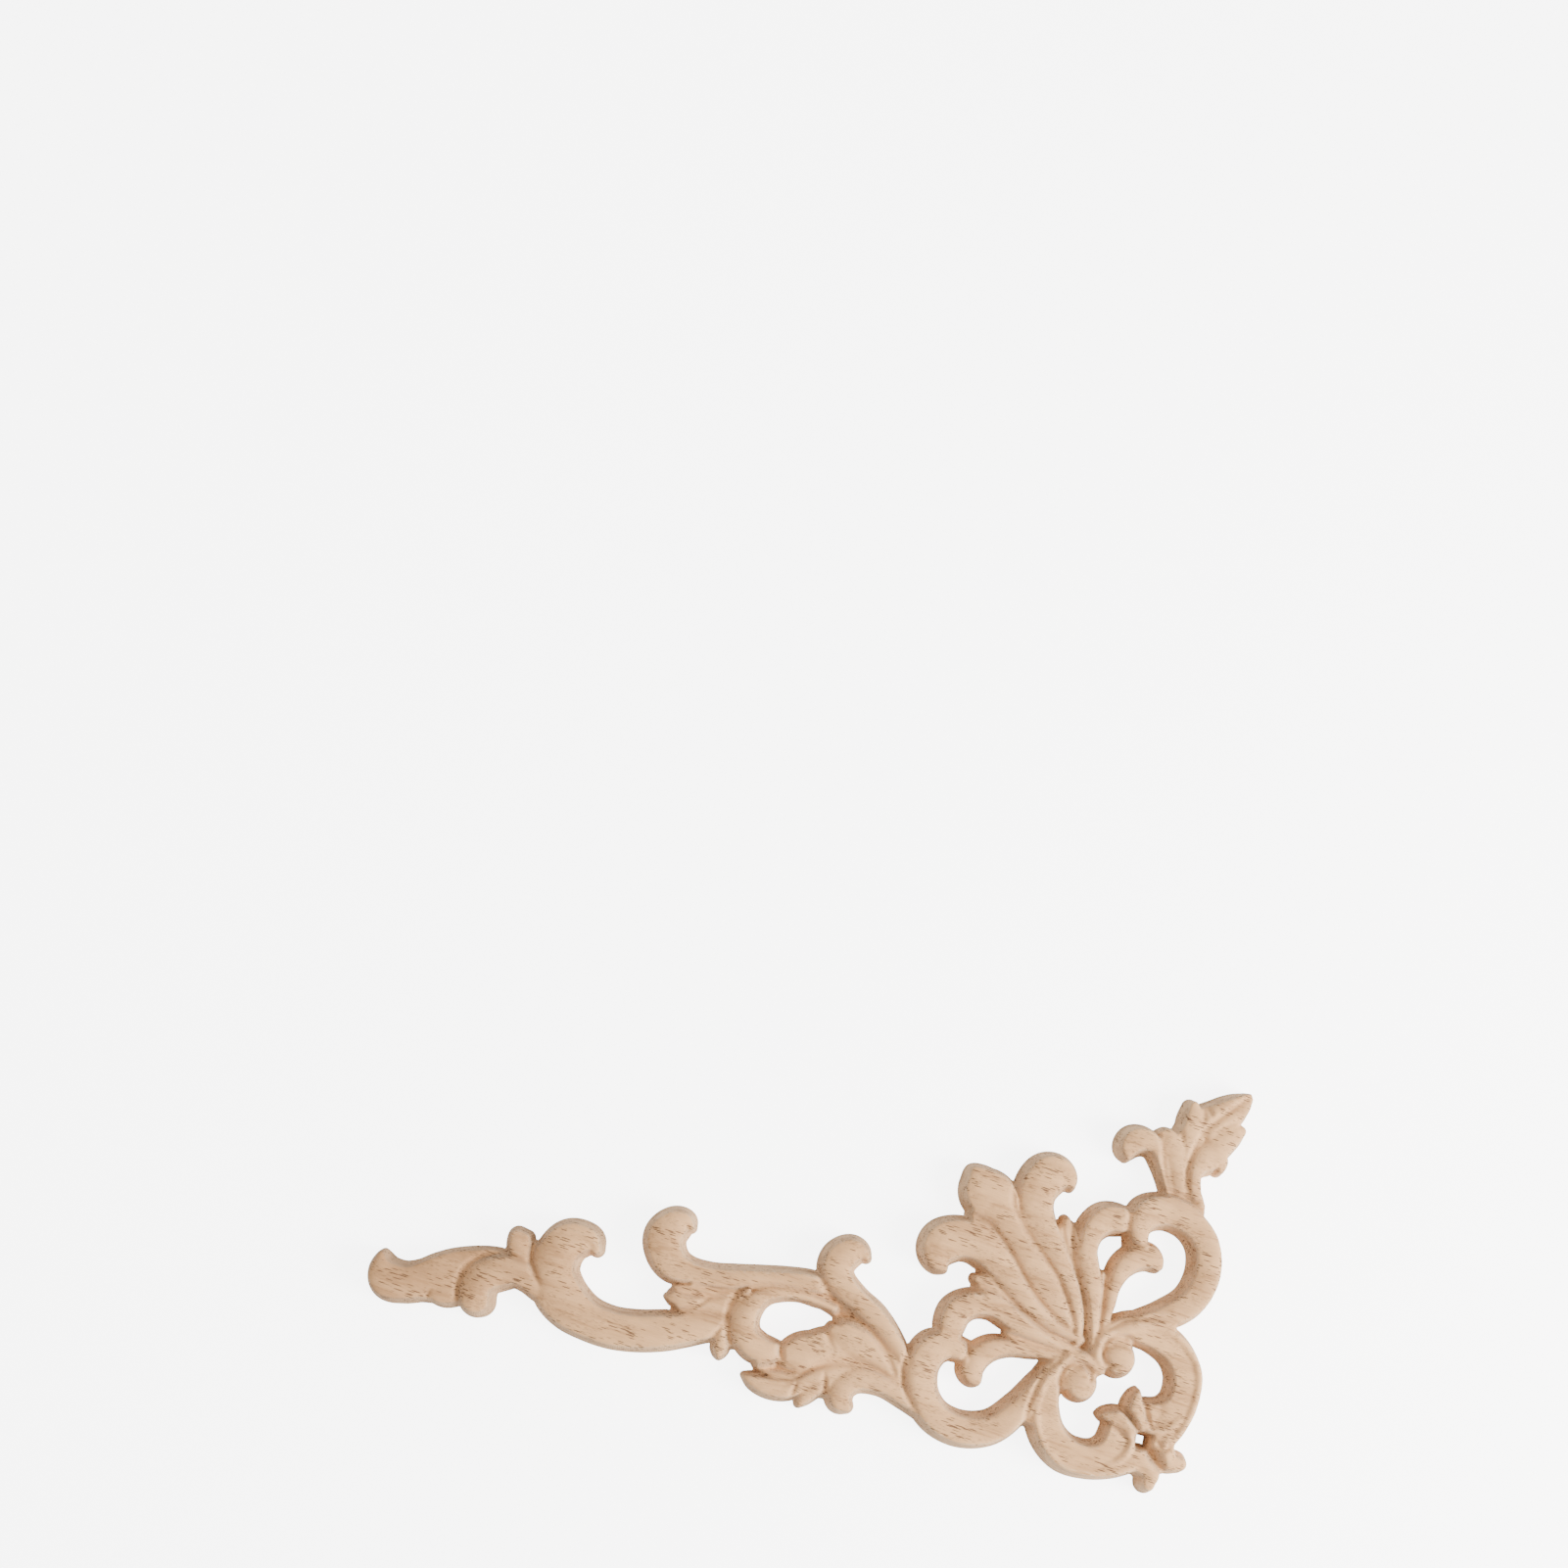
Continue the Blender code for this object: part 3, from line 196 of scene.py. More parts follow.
def smooth_path(stations: np.ndarray, step: float) -> np.ndarray:
    """Run a smooth curve through the stations, with their widths and heights.

    Args:
        stations: rows that start with x and y.
        step: distance between the curve's points.

    Returns:
        The curve's rows, in order.
    """
    if len(stations) < 2:
        return stations
    ends = (2 * stations[0] - stations[1], stations, 2 * stations[-1] - stations[-2])
    rows = np.vstack(ends)
    pieces = []
    for before, start, end, after in zip(rows, rows[1:], rows[2:], rows[3:]):
        first, middle, last = (
            math.sqrt(max(math.dist(a[:2], b[:2]), TINY))
            for a, b in ((before, start), (start, end), (end, after))
        )
        leave = (start - before) / first - (end - before) / (first + middle)
        arrive = (after - end) / last - (after - start) / (middle + last)
        leave = end - start + middle * leave
        arrive = end - start + middle * arrive
        count = max(2, math.ceil(math.dist(start[:2], end[:2]) / step))
        t = np.linspace(0, 1, count, endpoint=False)[:, None]
        pieces.append(
            (2 * t**3 - 3 * t**2 + 1) * start
            + (t**3 - 2 * t**2 + t) * leave
            + (3 * t**2 - 2 * t**3) * end
            + (t**3 - t**2) * arrive
        )
    return np.vstack([*pieces, stations[-1:]])


def beside(path: tuple[Station, ...], width: float, inset: float, rise: float) -> tuple[Station, ...]:
    """Draw a narrower stroke along the right edge of a wide one.

    Args:
        path: the wide stroke's stations.
        width: half width of the narrow stroke.
        inset: how far its edge stays inside the wide stroke's.
        rise: how much higher its crest is.

    Returns:
        The narrow stroke's stations.
    """
    rows = np.array(path)
    along = np.gradient(rows[:, :2], axis=0)
    along /= np.linalg.norm(along, axis=1)[:, None]
    across = np.stack([along[:, 1], -along[:, 0]], axis=1)
    spots = rows[:, :2] + across * (rows[:, 2:3] - width - inset)
    return tuple((x, y, width, z + rise) for (x, y), z in zip(spots.tolist(), rows[:, 3].tolist()))


C_BAND = (
    (163.2, 19.5, 3.7, 7.2), (163.3, 14, 4.4, 7.2), (165.9, 8.4, 4.6, 7.2), (170.3, 5.3, 4.7, 7.2),
    (175.8, 5, 4.6, 7.2), (181, 6.3, 4.6, 7.2), (186, 8, 3.8, 7),
)

STROKES = (
    Stroke("tip lobe", (
        (37, 15.5, 3.2, 5.9), (30, 14.2, 5.4, 6.1), (22.5, 11.2, 6.6, 6.5), (18, 9.5, 6.1, 7),
        (14, 7.9, 5.15, 7.2), (10, 6.5, 5, 7.3), (6.2, 6.4, 5.1, 7.3), (4.6, 7.8, 4.2, 7.2),
        (3.7, 10.1, 2.6, 6.8), (3.4, 11.7, 1.3, 6.2),
    ), crown=2.4),
    Stroke("under lobe", ((24, 9, 4.2, 6.4), (19.8, 7.6, 4.75, 6.8), (17.6, 8, 4.3, 6.8)), crown=1.6),
    Stroke("curl lobe", (
        (47, 10.9, 3.2, 7), (42.2, 12.8, 3.9, 7.2), (37.8, 14.5, 3.9, 7.6), (33.4, 14.9, 3.8, 7.7),
        (29.7, 13.5, 4.1, 7.8), (27.5, 10.4, 4.5, 7.8), (27.4, 7.1, 4.6, 7.7), (28.6, 6.3, 3.6, 7.4),
    ), crown=2.4),
    Stroke("first bud", (
        (36.6, 16.8, 3, 6.6), (34.7, 19.6, 3.3, 7), (33.7, 21.5, 3.1, 7.2), (33, 23.3, 2.2, 7.1),
        (35.3, 23, 2.1, 7),
    ), crown=1.7),
    Stroke("big scroll", (
        (52.3, 24.4, 1.9, 7), (50.5, 26.2, 3.3, 7.4), (48, 26, 4.5, 7.6), (45.2, 24.6, 5.5, 7.8),
        (43.6, 21.3, 5.9, 7.8), (43.7, 17.2, 6, 7.8), (45.6, 13.3, 6.4, 7.8), (49.3, 10.4, 6, 7.8),
        (54, 8.6, 5.3, 7.8), (60, 7.85, 5.05, 7.8), (66, 8.5, 5, 7.8), (72, 10, 4.9, 7.8),
        (77, 11.7, 4.5, 7.6), (81.5, 13.3, 4, 7.3), (86, 14.4, 3.6, 6.9),
    ), crown=2.6),
    Stroke("pendant bud", (
        (86.1, 15, 0.8, 6.4), (86.1, 12.5, 1.8, 6.7), (86.1, 10, 2.6, 6.9), (86.2, 8.7, 2.1, 6.8),
        (86.3, 7.5, 1.1, 6.4),
    )),
    Stroke("sliver", (
        (72.4, 20.4, 0.9, 5.9), (75, 20.8, 1.4, 6.1), (80, 20.9, 1.5, 6.2), (87, 21.6, 1.8, 6.6),
        (89.5, 23.2, 1.6, 7),
    ), crown=0.9),
    Stroke("leaflet", (
        (71, 17.9, 0.9, 6.2), (73.2, 17.9, 2.2, 6.8), (77, 18, 2.3, 6.9), (81, 18.2, 2.1, 6.7),
        (87, 18.4, 2, 6.5),
    ), crown=1.2),
    Stroke("ring", (
        (110, 24.6, 1.2, 6), (106, 25.2, 1.7, 6.5), (101.5, 25.6, 1.9, 6.9), (97.2, 25, 2.3, 7.2),
        (94, 23.8, 2.7, 7.4), (91.6, 21.6, 3.3, 7.6), (90.2, 17.3, 3.85, 7.7), (91.4, 13.6, 3.95, 7.7),
        (94.6, 11.5, 4, 7.5), (97.9, 11.8, 2.9, 7.2), (99.3, 12.9, 1.5, 6.8),
    ), crown=2.3),
    Stroke("second hook", (
        (72.9, 34.6, 1.4, 6.6), (71.5, 35.8, 2.6, 7.2), (69.2, 34.7, 4.35, 7.7), (67.2, 31.5, 5.3, 7.8),
        (68, 28.3, 5.15, 7.8), (70.5, 25.6, 4.65, 7.8), (74.2, 24.7, 3.8, 7.7), (80, 25.1, 3.1, 7.6),
        (86, 26.1, 3.1, 7.6), (92, 27.5, 2.9, 7.6), (98, 28.7, 2.8, 7.6), (104, 29.3, 2.8, 7.4),
        (108.4, 28.9, 2.5, 6.6), (112, 27.2, 1.8, 5.9),
    ), crown=2.3),
    Stroke("third hook", (
        (115.3, 37.6, 1.4, 6.8), (113.6, 38.8, 2.6, 7.3), (111.3, 38.4, 4, 7.7), (109, 36, 4.7, 7.8),
        (108.7, 33, 4.5, 7.8), (110.8, 30.5, 4, 7.8), (115.5, 27.8, 3.3, 7.8), (120.1, 25.3, 3.3, 7.8),
        (124.5, 21.9, 2.9, 7.7), (128.5, 17.6, 2.4, 7.3), (131, 13, 2, 6.8),
    ), crown=2.3),
    Stroke("leaf upper blade", (
        (100.4, 11.2, 1.6, 6.2), (102.4, 12.2, 3.2, 6.7), (105, 13.4, 4.3, 6.9), (109, 14.7, 4.1, 6.8),
        (114, 15.2, 2.8, 6.5), (120, 15, 2, 6.3),
    ), crown=1.2),
    Stroke("leaf back blade", (
        (111.3, 19.7, 2.2, 6.4), (114, 18.9, 3.6, 7), (118, 17.9, 4.4, 7.2), (123, 16.2, 3.8, 7),
        (129, 13.5, 3.2, 6.7),
    ), crown=1.9),
    Stroke("leaf first lobe", (
        (93.1, 4.7, 0.9, 6), (96, 4, 2.5, 6.8), (100, 3.8, 3.3, 7.1), (104, 4.6, 3.3, 7.1),
        (109, 7.8, 2.6, 6.9), (114, 10.6, 2.2, 6.7), (120, 12, 1.8, 6.5),
    ), crown=1.9),
    Stroke("leaf second lobe", (
        (107.1, 1.5, 1.2, 6), (108.1, 3.4, 2.3, 6.7), (110.4, 6.5, 2.8, 6.9), (114, 9.2, 2.4, 6.8),
    ), crown=1.6),
    Stroke("leaf third lobe", (
        (118.2, 3.5, 1.9, 6.8), (116.2, 4.6, 3.4, 7.3), (116.2, 7.4, 3.7, 7.5), (119, 9.8, 3.4, 7.5),
        (125, 10.2, 3, 7.4), (131, 8.4, 2.8, 7.2), (137, 6.5, 3, 7),
    ), crown=2.1),
    Stroke("heart loop", (
        (166.5, 27, 1.6, 7.4), (161.8, 20.5, 2.7, 7.6), (157.6, 12.6, 3.8, 7.8), (152.4, 6.8, 4.2, 7.8),
        (145.4, 4.75, 4.35, 7.8), (139, 6.2, 4.3, 7.8), (134.9, 10.4, 4.35, 7.8), (133.4, 16.5, 4.6, 7.8),
        (135, 21, 4.6, 7.8), (138.2, 22.4, 3.7, 7.5), (141, 21.6, 2.6, 7.2), (142.6, 20.4, 1.5, 6.9),
    ), crown=2.2, lean=0.25, twin=LOOPS),
    Stroke("inner leaf", (
        (164, 26.6, 1.5, 6.4), (158, 26, 2.1, 6.5), (153, 25.7, 2.6, 6.6), (148.6, 24.3, 3.3, 6.7),
        (145.9, 21.7, 3.6, 6.7), (144.8, 18.6, 3.55, 6.7), (145.5, 17.2, 2.9, 6.5), (146.7, 16.3, 1.6, 6),
    ), crown=1.9, twin=LOOPS),
    Stroke("outer leaf", (
        (168, 28.2, 1.2, 6.6), (163, 29, 1.8, 7), (157, 30.3, 2.6, 7.4), (152, 31.9, 3.3, 7.6),
        (146.5, 33.8, 3.5, 7.7), (141.8, 33.2, 3.9, 7.7), (138.7, 30.6, 4.3, 7.7), (138, 27.6, 4.1, 7.6),
        (138, 25.5, 3.5, 7.4),
    ), lean=-0.2, twin=LOOPS),
    Stroke("side bud", (
        (141.6, 39.1, 1.5, 5.9), (146, 38.3, 1.9, 6.3), (150.5, 36.2, 1.7, 6.4), (156, 33.2, 1.3, 6.4),
    ), crown=1.2, twin=PALMETTE),
    Stroke("side petal", (
        (133.7, 39.5, 1.3, 6.6), (131.8, 40.9, 3.2, 7.2), (131.1, 43.2, 4.7, 7.6), (132.1, 45.5, 5.65, 7.8),
        (135.8, 47.4, 5.55, 7.8), (140, 47.2, 5.2, 7.8), (144.8, 44.7, 4.7, 7.8), (150, 40.5, 3.7, 7.8),
        (155, 36.6, 2.8, 7.7), (160, 33.6, 2.3, 7.5), (165, 31.8, 1.7, 7.2), (168.5, 31.3, 1.2, 7),
    ), twin=PALMETTE),
    Stroke("centre lobe", (
        (135.3, 64, 1.1, 6.6), (136.2, 63.2, 2.6, 7), (137.8, 61.5, 4.5, 7.6), (139.7, 59.3, 6.4, 7.8),
        (141.7, 58.6, 6.6, 7.8), (145, 54.9, 4.9, 7.8), (148.6, 51.4, 4.2, 7.8), (152.4, 47.7, 4.2, 7.8),
        (155.6, 44.4, 4.5, 7.8), (158.8, 40.9, 4.5, 7.7), (162, 37.5, 3.7, 7.5), (165.5, 34, 2.4, 7.2),
    )),
    Stroke("volute", (
        (170.5, 21.6, 4.8, 7.9),
    ), crown=2.2, twin=SCROLLS),
    Stroke("volute wrap", (
        (163.2, 19.5, 3.6, 7.2), (164.3, 23, 3, 7.3), (167.2, 26, 2.2, 7.4), (170.8, 27, 1.6, 7.4),
        (173, 26, 1.3, 7.2), (174.5, 24.7, 0.8, 6.6),
    ), crown=1.5, twin=SCROLLS),
    Stroke("C band", C_BAND, crown=1, bulge=3, twin=SCROLLS),
    Stroke("C rim", beside(C_BAND, 1.75, 0.5, 0.5), crown=2.2, twin=SCROLLS),
    Stroke("ear", (
        (176.3, 15.7, 0.7, 6.4), (178.3, 15.9, 2.1, 7.3), (181.2, 16.1, 2.7, 7.8), (183.4, 14.5, 2.1, 7.8),
        (183.9, 12.6, 1.1, 7.5),
    ), crown=1.8, twin=SCROLLS),
    Stroke("toe", (
        (190.3, 3.2, 2.6, 6.8), (190.3, 6, 3.2, 7.2), (186.5, 7.8, 3.4, 7.2),
    ), crown=1.6, twin=SCROLLS),
    Stroke("sprig hook", (
        (183.5, 67.5, 1.6, 6.8), (181.2, 72, 1.5, 7), (179.3, 76, 2.1, 7.2), (177.3, 79.6, 3.1, 7.5),
        (174.5, 80.6, 3.8, 7.6), (172.2, 79.9, 4, 7.5), (171, 77.9, 3.2, 7), (171.2, 75.8, 1.5, 6.4),
    ), crown=1.9),
    Stroke("sprig left blade", (
        (185.5, 68.5, 2.4, 6.8), (183.4, 75, 2.9, 7), (181.6, 80.6, 3.6, 7), (179.9, 83.1, 2.3, 6.6),
        (178.2, 83.2, 1.3, 6.2),
    ), crown=1.6),
    Stroke("sprig upper blade", (
        (186, 76, 1.8, 6.6), (185.2, 82, 2.8, 6.9), (185.1, 87.6, 3.4, 7), (184.6, 91.3, 2.1, 6.4),
    ), crown=1.3),
    Stroke("sprig tip", (
        (187.8, 86, 1.8, 6.8), (190.4, 91, 3.1, 7.2), (194, 94.3, 2.6, 7.2), (197.4, 97, 1.1, 6.4),
    ), crown=1.7),
    Stroke("sprig right tip", (
        (190, 85.5, 2.2, 6.8), (193.6, 90, 3.4, 7), (196.3, 93.2, 2.5, 6.8), (197.8, 96.2, 1.1, 6.2),
    ), crown=1.7),
    Stroke("sprig right blade", (
        (190.3, 79, 3.4, 7), (193.1, 84.3, 4, 7.2), (195.8, 87.2, 3, 6.8), (196.9, 88.2, 2, 6.3),
    ), crown=1.8),
    Stroke("sprig right hook", (
        (189.3, 68, 3.4, 7.2), (187.4, 74.5, 2.6, 7.4), (190.4, 80.4, 3.9, 7.3), (193.2, 79.8, 3, 7.1),
        (193.6, 77.9, 1.7, 6.4),
    ), crown=1.9),
    Stroke("spoon", (
        (174.6, 6.3, 3, 6.9), (177.6, 7, 3.1, 6.8), (180.2, 9, 3.5, 6.7), (181.3, 12, 3.6, 6.8),
    ), crown=0.5, bulge=3, twin=SCROLLS),
    Stroke("spoon rim", (
        (179.73, 4.78, 1.9, 7.4), (181.9, 6.26, 1.6, 7.6), (183.68, 8.52, 1.3, 7.7),
        (184.46, 10.69, 1.1, 7.6), (184.37, 12.27, 0.8, 7.4),
    ), crown=1.3, twin=SCROLLS),
    Stroke("tie", (
        (182.89, 6.45, 1.3, 7.3), (185.65, 7.34, 1.8, 7.5), (188.6, 7.05, 1.8, 7.5),
        (190.77, 5.57, 1.4, 7.2),
    ), crown=1.3, twin=SCROLLS),
)

CORES = (
    Core("left end", ((24, 11, 5), (30, 13.5, 4), (35, 16.5, 4), (40, 17, 5))),
    Core("bud notch", ((36.4, 21.6, 1.9), (39, 21, 2))),
    Core("leaflets", ((73.2, 18.2, 2.6), (80, 18.5, 6), (88, 18, 6))),
    Core("ring top", (
        (84, 23, 2.4), (91, 25.6, 2.2), (104, 26.6, 2.6), (111.8, 24.3, 2.4), (115, 22.2, 3.4),
        (120, 20, 4),
    )),
    Core("bud", ((86, 11, 2.2), (88.5, 12.5, 3))),
    Core("leaf", ((96.5, 8.6, 2.6), (104, 9.4, 5.8), (112, 12.2, 8.4), (120, 14.5, 7.2), (129, 13, 6.2))),
    Core("palmette", ((171, 30, 5), (160, 38, 8), (150, 47, 9), (142.5, 54, 6.6))),
    Core("palmette side", ((168, 29.5, 3), (158, 32, 4), (150, 36.5, 4), (144, 38.6, 3.2)), twin=PALMETTE),
    Core("loop", ((138.3, 25, 3.4), (135, 21, 4)), twin=LOOPS),
    Core("loop tip", ((140.2, 23.2, 2.6), (144, 22.3, 2.6)), twin=LOOPS),
    Core("under outer leaf", (
        (151.5, 28.7, 1.2), (154, 28.5, 2.4), (160, 27.8, 3.4), (168, 27, 4),
    ), twin=LOOPS),
    Core("notch", ((160.2, 11, 2.3), (160.6, 16, 2.6), (162.3, 21, 3), (165, 25, 3)), twin=SCROLLS),
    Core("hub", ((165, 25, 3), (168, 25, 4), (172, 28, 5)), twin=SCROLLS),
    Core("foot", (
        (174.6, 6.4, 3), (177.5, 7.2, 3.1), (179.8, 9.2, 3.3), (180.9, 12.2, 3.5), (181.6, 14.2, 3.9),
    ), twin=SCROLLS),
    Core("heel", ((182, 9, 4.4), (183.4, 13.4, 4.2)), twin=SCROLLS),
    Core("volute", ((166.8, 20.7, 2.4), (168.8, 23.2, 3.6), (172.4, 25.2, 2.4)), twin=SCROLLS),
    Core("toe", ((186, 8, 4), (190, 9, 3.6), (191, 7, 3)), twin=SCROLLS),
    Core("sprig", ((186.5, 68, 5.4), (185.8, 75, 4.6), (186, 82, 5.4), (187.5, 87, 5), (192, 91, 4.4))),
    Core("sprig right", (
        (189.4, 66.6, 3.5), (187.6, 69.6, 3.7), (187, 75, 3), (190, 81, 4.4), (193, 86, 4),
    )),
    Core("sprig hook", ((184, 69.6, 2.6), (182.2, 73.6, 2.8), (180.8, 78, 2.6), (179, 81.6, 2.2))),
    Core("hook seam", ((77, 22.6, 1.8), (83, 23.2, 2.4), (89, 24.8, 2.2))),
    Core("third hook seam", (
        (108, 29, 2.2), (113, 26, 3.2), (119, 22.8, 3.4), (124, 19, 3.6), (128.5, 14, 3.4),
    )),
)

CREASES = (
    Crease("curl edge", (
        (24.42, 4.39), (23.33, 6.65), (22.74, 9.51), (23.04, 12.27), (24.22, 14.63), (26.39, 16.51),
        (29.34, 17.79), (32.2, 18.38),
    ), width=1, depth=1),
    Crease("bud foot", (
        (31.12, 20.15), (32.3, 18.87), (34.86, 18.08), (37.82, 17.79),
    ), width=0.8, depth=0.7),
    Crease("scroll head", (
        (39, 24.98), (38.02, 22.72), (37.62, 20.45), (38.21, 18.08), (39.59, 15.92), (41.37, 13.65),
    ), width=1, depth=1.1),
    Crease("scroll lip", (
        (53.59, 23.31), (51.42, 24.69), (49.05, 25.97), (45.7, 26.26), (42.35, 26.26),
    ), width=0.8, depth=0.45),
    Crease("curl knob", ((31.61, 7.54), (30.72, 8.92), (30.23, 11.09)), width=0.7, depth=0.5),
    Crease("tip groove", (
        (3.72, 10.89), (8.06, 10.5), (13.97, 10.79), (20.38, 10.89),
    ), width=0.7, depth=0.35),
    Crease("tip groove low", (
        (3.33, 6.36), (8.06, 5.76), (13.97, 5.57), (21.36, 5.96),
    ), width=0.8, depth=0.3),
    Crease("under lobe notch", ((16.34, 3.6), (16.43, 5.17), (17.12, 6.75)), width=0.7, depth=0.6),
    Crease("leaflet top", (
        (74.58, 22.32), (79.01, 22.32), (83.45, 22.12), (86.5, 22.81), (89.46, 24.59),
    ), width=0.8, depth=0.5),
    Crease("leaflet mid", (
        (72.02, 20.05), (74.58, 19.66), (78.03, 19.86), (81.97, 20.55), (85.42, 21.04),
    ), width=0.8, depth=0.8),
    Crease("leaflet low", (
        (72.71, 15.42), (75.07, 15.82), (77.63, 17), (79.61, 18.58), (80.99, 19.96),
    ), width=0.8, depth=0.6),
    Crease("leaflet seam", ((79.61, 16.61), (82.46, 16.51), (85.72, 16.21)), width=0.7, depth=0.4),
    Crease("ring edge", (
        (88.77, 24.29), (86.9, 22.12), (86.11, 19.37), (86.21, 16.41), (87, 13.45), (88.08, 11.48),
        (89.46, 9.61),
    ), width=1.15, depth=1.2),
    Crease("bud side", (
        (82.56, 10.5), (83.74, 11.58), (84.73, 13.25), (85.72, 15.42),
    ), width=0.8, depth=0.8),
    Crease("ring crown", (
        (88.28, 23.9), (91.33, 25.67), (95.77, 26.36), (101.68, 26.66), (107.59, 26.46), (112.03, 25.28),
    ), width=0.8, depth=0.5),
    Crease("ring tail", (
        (98.63, 15.13), (99.71, 13.06), (100.5, 11.28), (101.09, 10.5),
    ), width=1, depth=1.4),
    Crease("ring chin", (
        (94.59, 7.34), (96.75, 8.23), (99.71, 9.61), (102.67, 10.2), (106.21, 10.1),
    ), width=0.7, depth=0.45),
    Crease("second hook lip", ((73.1, 33.56), (71.72, 34.84), (69.75, 35.33)), width=0.7, depth=0.4),
    Crease("third hook edge", (
        (104.6, 32.1), (105.7, 30.6), (107.2, 28.6), (109.6, 26.8), (112.7, 25.2), (116.6, 23.3),
        (120.6, 20.9), (123.8, 18), (127.4, 13.5),
    ), width=1.2, depth=1.1),
    Crease("back blade edge", (
        (109.07, 19.76), (109.86, 18.38), (110.75, 17), (112.52, 15.42),
    ), width=0.9, depth=0.8),
    Crease("back blade top", (
        (110.45, 22.03), (112.52, 22.52), (115.08, 22.32), (117.84, 21.34),
    ), width=0.8, depth=0.9),
    Crease("midrib", (
        (93.21, 5.67), (96.75, 5.76), (100.7, 6.16), (104.64, 6.95), (106.61, 8.62), (109.07, 10.79),
        (111.73, 12.57), (114.49, 13.65), (118.44, 14.04), (123.36, 13.25), (128.29, 11.28),
    ), width=0.9, depth=0.85),
    Crease("midrib above", (
        (105.23, 9.51), (107.79, 10.89), (110.16, 12.66), (112.72, 14.24), (116.46, 15.03), (121.39, 14.83),
    ), width=0.6, depth=0.4),
    Crease("leaf vein", (
        (94.78, 3.79), (98.72, 4.58), (102.27, 4.78), (104.64, 5.76),
    ), width=0.7, depth=0.4),
    Crease("leaf vein low", ((98.23, 2.61), (101.68, 3.4), (104.64, 3.99)), width=0.7, depth=0.3),
    Crease("leaf split one", ((104.74, 1.82), (105.03, 3.79), (105.43, 6.16)), width=0.8, depth=0.9),
    Crease("leaf split two", (
        (111.64, 3.5), (112.03, 5.57), (111.83, 7.74), (111.14, 9.71),
    ), width=0.9, depth=1),
    Crease("blade vein", ((103.46, 16.51), (105.23, 15.92), (107.4, 14.93)), width=0.7, depth=0.5),
    Crease("loop foot", (
        (129.2, 21), (128.8, 17), (129.4, 13.2), (131.4, 9.2), (134.2, 6.4),
    ), width=0.9, depth=0.9, twin=LOOPS),
    Crease("loop top", (
        (134.4, 26.6), (137, 25.7), (140, 25.5), (142.2, 24.9),
    ), width=0.9, depth=0.9, twin=LOOPS),
    Crease("inner leaf edge", (
        (142.2, 26), (143, 23.6), (142.8, 21.6), (141.8, 19.8), (140.5, 18.7),
    ), width=0.8, depth=0.8, twin=LOOPS),
    Crease("inner leaf top", (
        (148.6, 28.9), (153, 28.5), (158, 28), (163.5, 27.6),
    ), width=0.8, depth=0.7, twin=LOOPS),
    Crease("bud low", (
        (140.6, 37.5), (146, 37.1), (151, 35.4), (156, 32.6), (161, 30.4), (165, 29.1), (168.4, 28.6),
    ), width=0.75, depth=0.5, twin=PALMETTE),
    Crease("bud high", (
        (141.8, 40.8), (145.3, 39.8), (149.3, 37.2), (153.2, 34.8), (157.1, 32.6), (161.1, 31.2),
        (165.6, 30.2), (169.8, 29.4),
    ), width=0.8, twin=PALMETTE),
    Crease("petal edge", (
        (135.6, 53.4), (138.5, 53.2), (141.4, 52.4), (145.3, 49.6), (149.3, 45.6), (152.2, 42.2),
        (155.2, 38.9), (159.2, 36.1), (163.2, 33.9), (166.4, 32.7),
    ), depth=0.8, twin=PALMETTE),
    Crease("scroll and loop", (
        (160.3, 8), (159.3, 11), (159.4, 14.5), (160.2, 18), (161.6, 22), (164.6, 25.8),
    ), width=0.9, depth=0.9, twin=SCROLLS),
    Crease("volute edge", (
        (166.82, 18.08), (165.44, 20.15), (165.35, 22.72), (166.33, 24.69), (168.01, 25.87),
        (169.78, 25.97), (171.36, 25.18), (172.34, 23.9), (172.15, 22.62),
    ), width=0.95, depth=1.2, twin=SCROLLS),
    Crease("ear step", (
        (178.35, 13.94), (180.33, 13.45), (182.1, 12.66), (183.48, 11.78),
    ), width=0.8, depth=1, twin=SCROLLS),
    Crease("toe valley", ((187.8, 12), (190, 10), (192.9, 6.7)), width=2.1, depth=2.8),
    Crease("ear valley", (
        (179.44, 19.17), (181.9, 17.79), (183.87, 16.11), (185.84, 14.04),
    ), width=1.1, depth=2.2),
    Crease("tie end", (
        (189.59, 13.35), (190.97, 12.37), (192.25, 11.48), (193.33, 12.47), (194.62, 13.45),
    ), width=0.8, depth=1),
    Crease("tie end low", ((185.35, 5.27), (187.42, 5.96), (189.98, 5.27)), width=0.7, depth=0.3),
    Crease("sprig hook edge", (
        (182.79, 69.23), (181.21, 71.99), (179.83, 75.34), (179.04, 78.69), (177.96, 81.65),
        (176.28, 83.52),
    ), width=0.9, depth=0.9),
    Crease("sprig midrib", (
        (188.1, 68.8), (186.3, 72), (185.7, 75.4), (185.9, 79.4), (186.8, 83.3), (188.8, 87.3),
        (191.6, 90.7), (194.6, 93.8), (197.6, 97.2),
    )),
    Crease("sprig split", ((187.4, 92.4), (188.4, 90.8), (189.2, 89.4))),
    Crease("sprig left split", ((181.3, 86), (182.6, 84.6), (183.2, 82)), width=0.7, depth=0.5),
    Crease("sprig right split", (
        (198.4, 91.2), (195, 89.6), (192.5, 88), (190.5, 86.4),
    ), width=0.7, depth=0.5),
    Crease("sprig foot", ((180.2, 69.9), (184, 69.3), (188, 68.9), (192.4, 69.6)), width=0.9, depth=0.6),
)

CORNER_PIT = Pit(x=187.5, y=12.2, half_x=0.95, half_y=1.1, run=1.2)


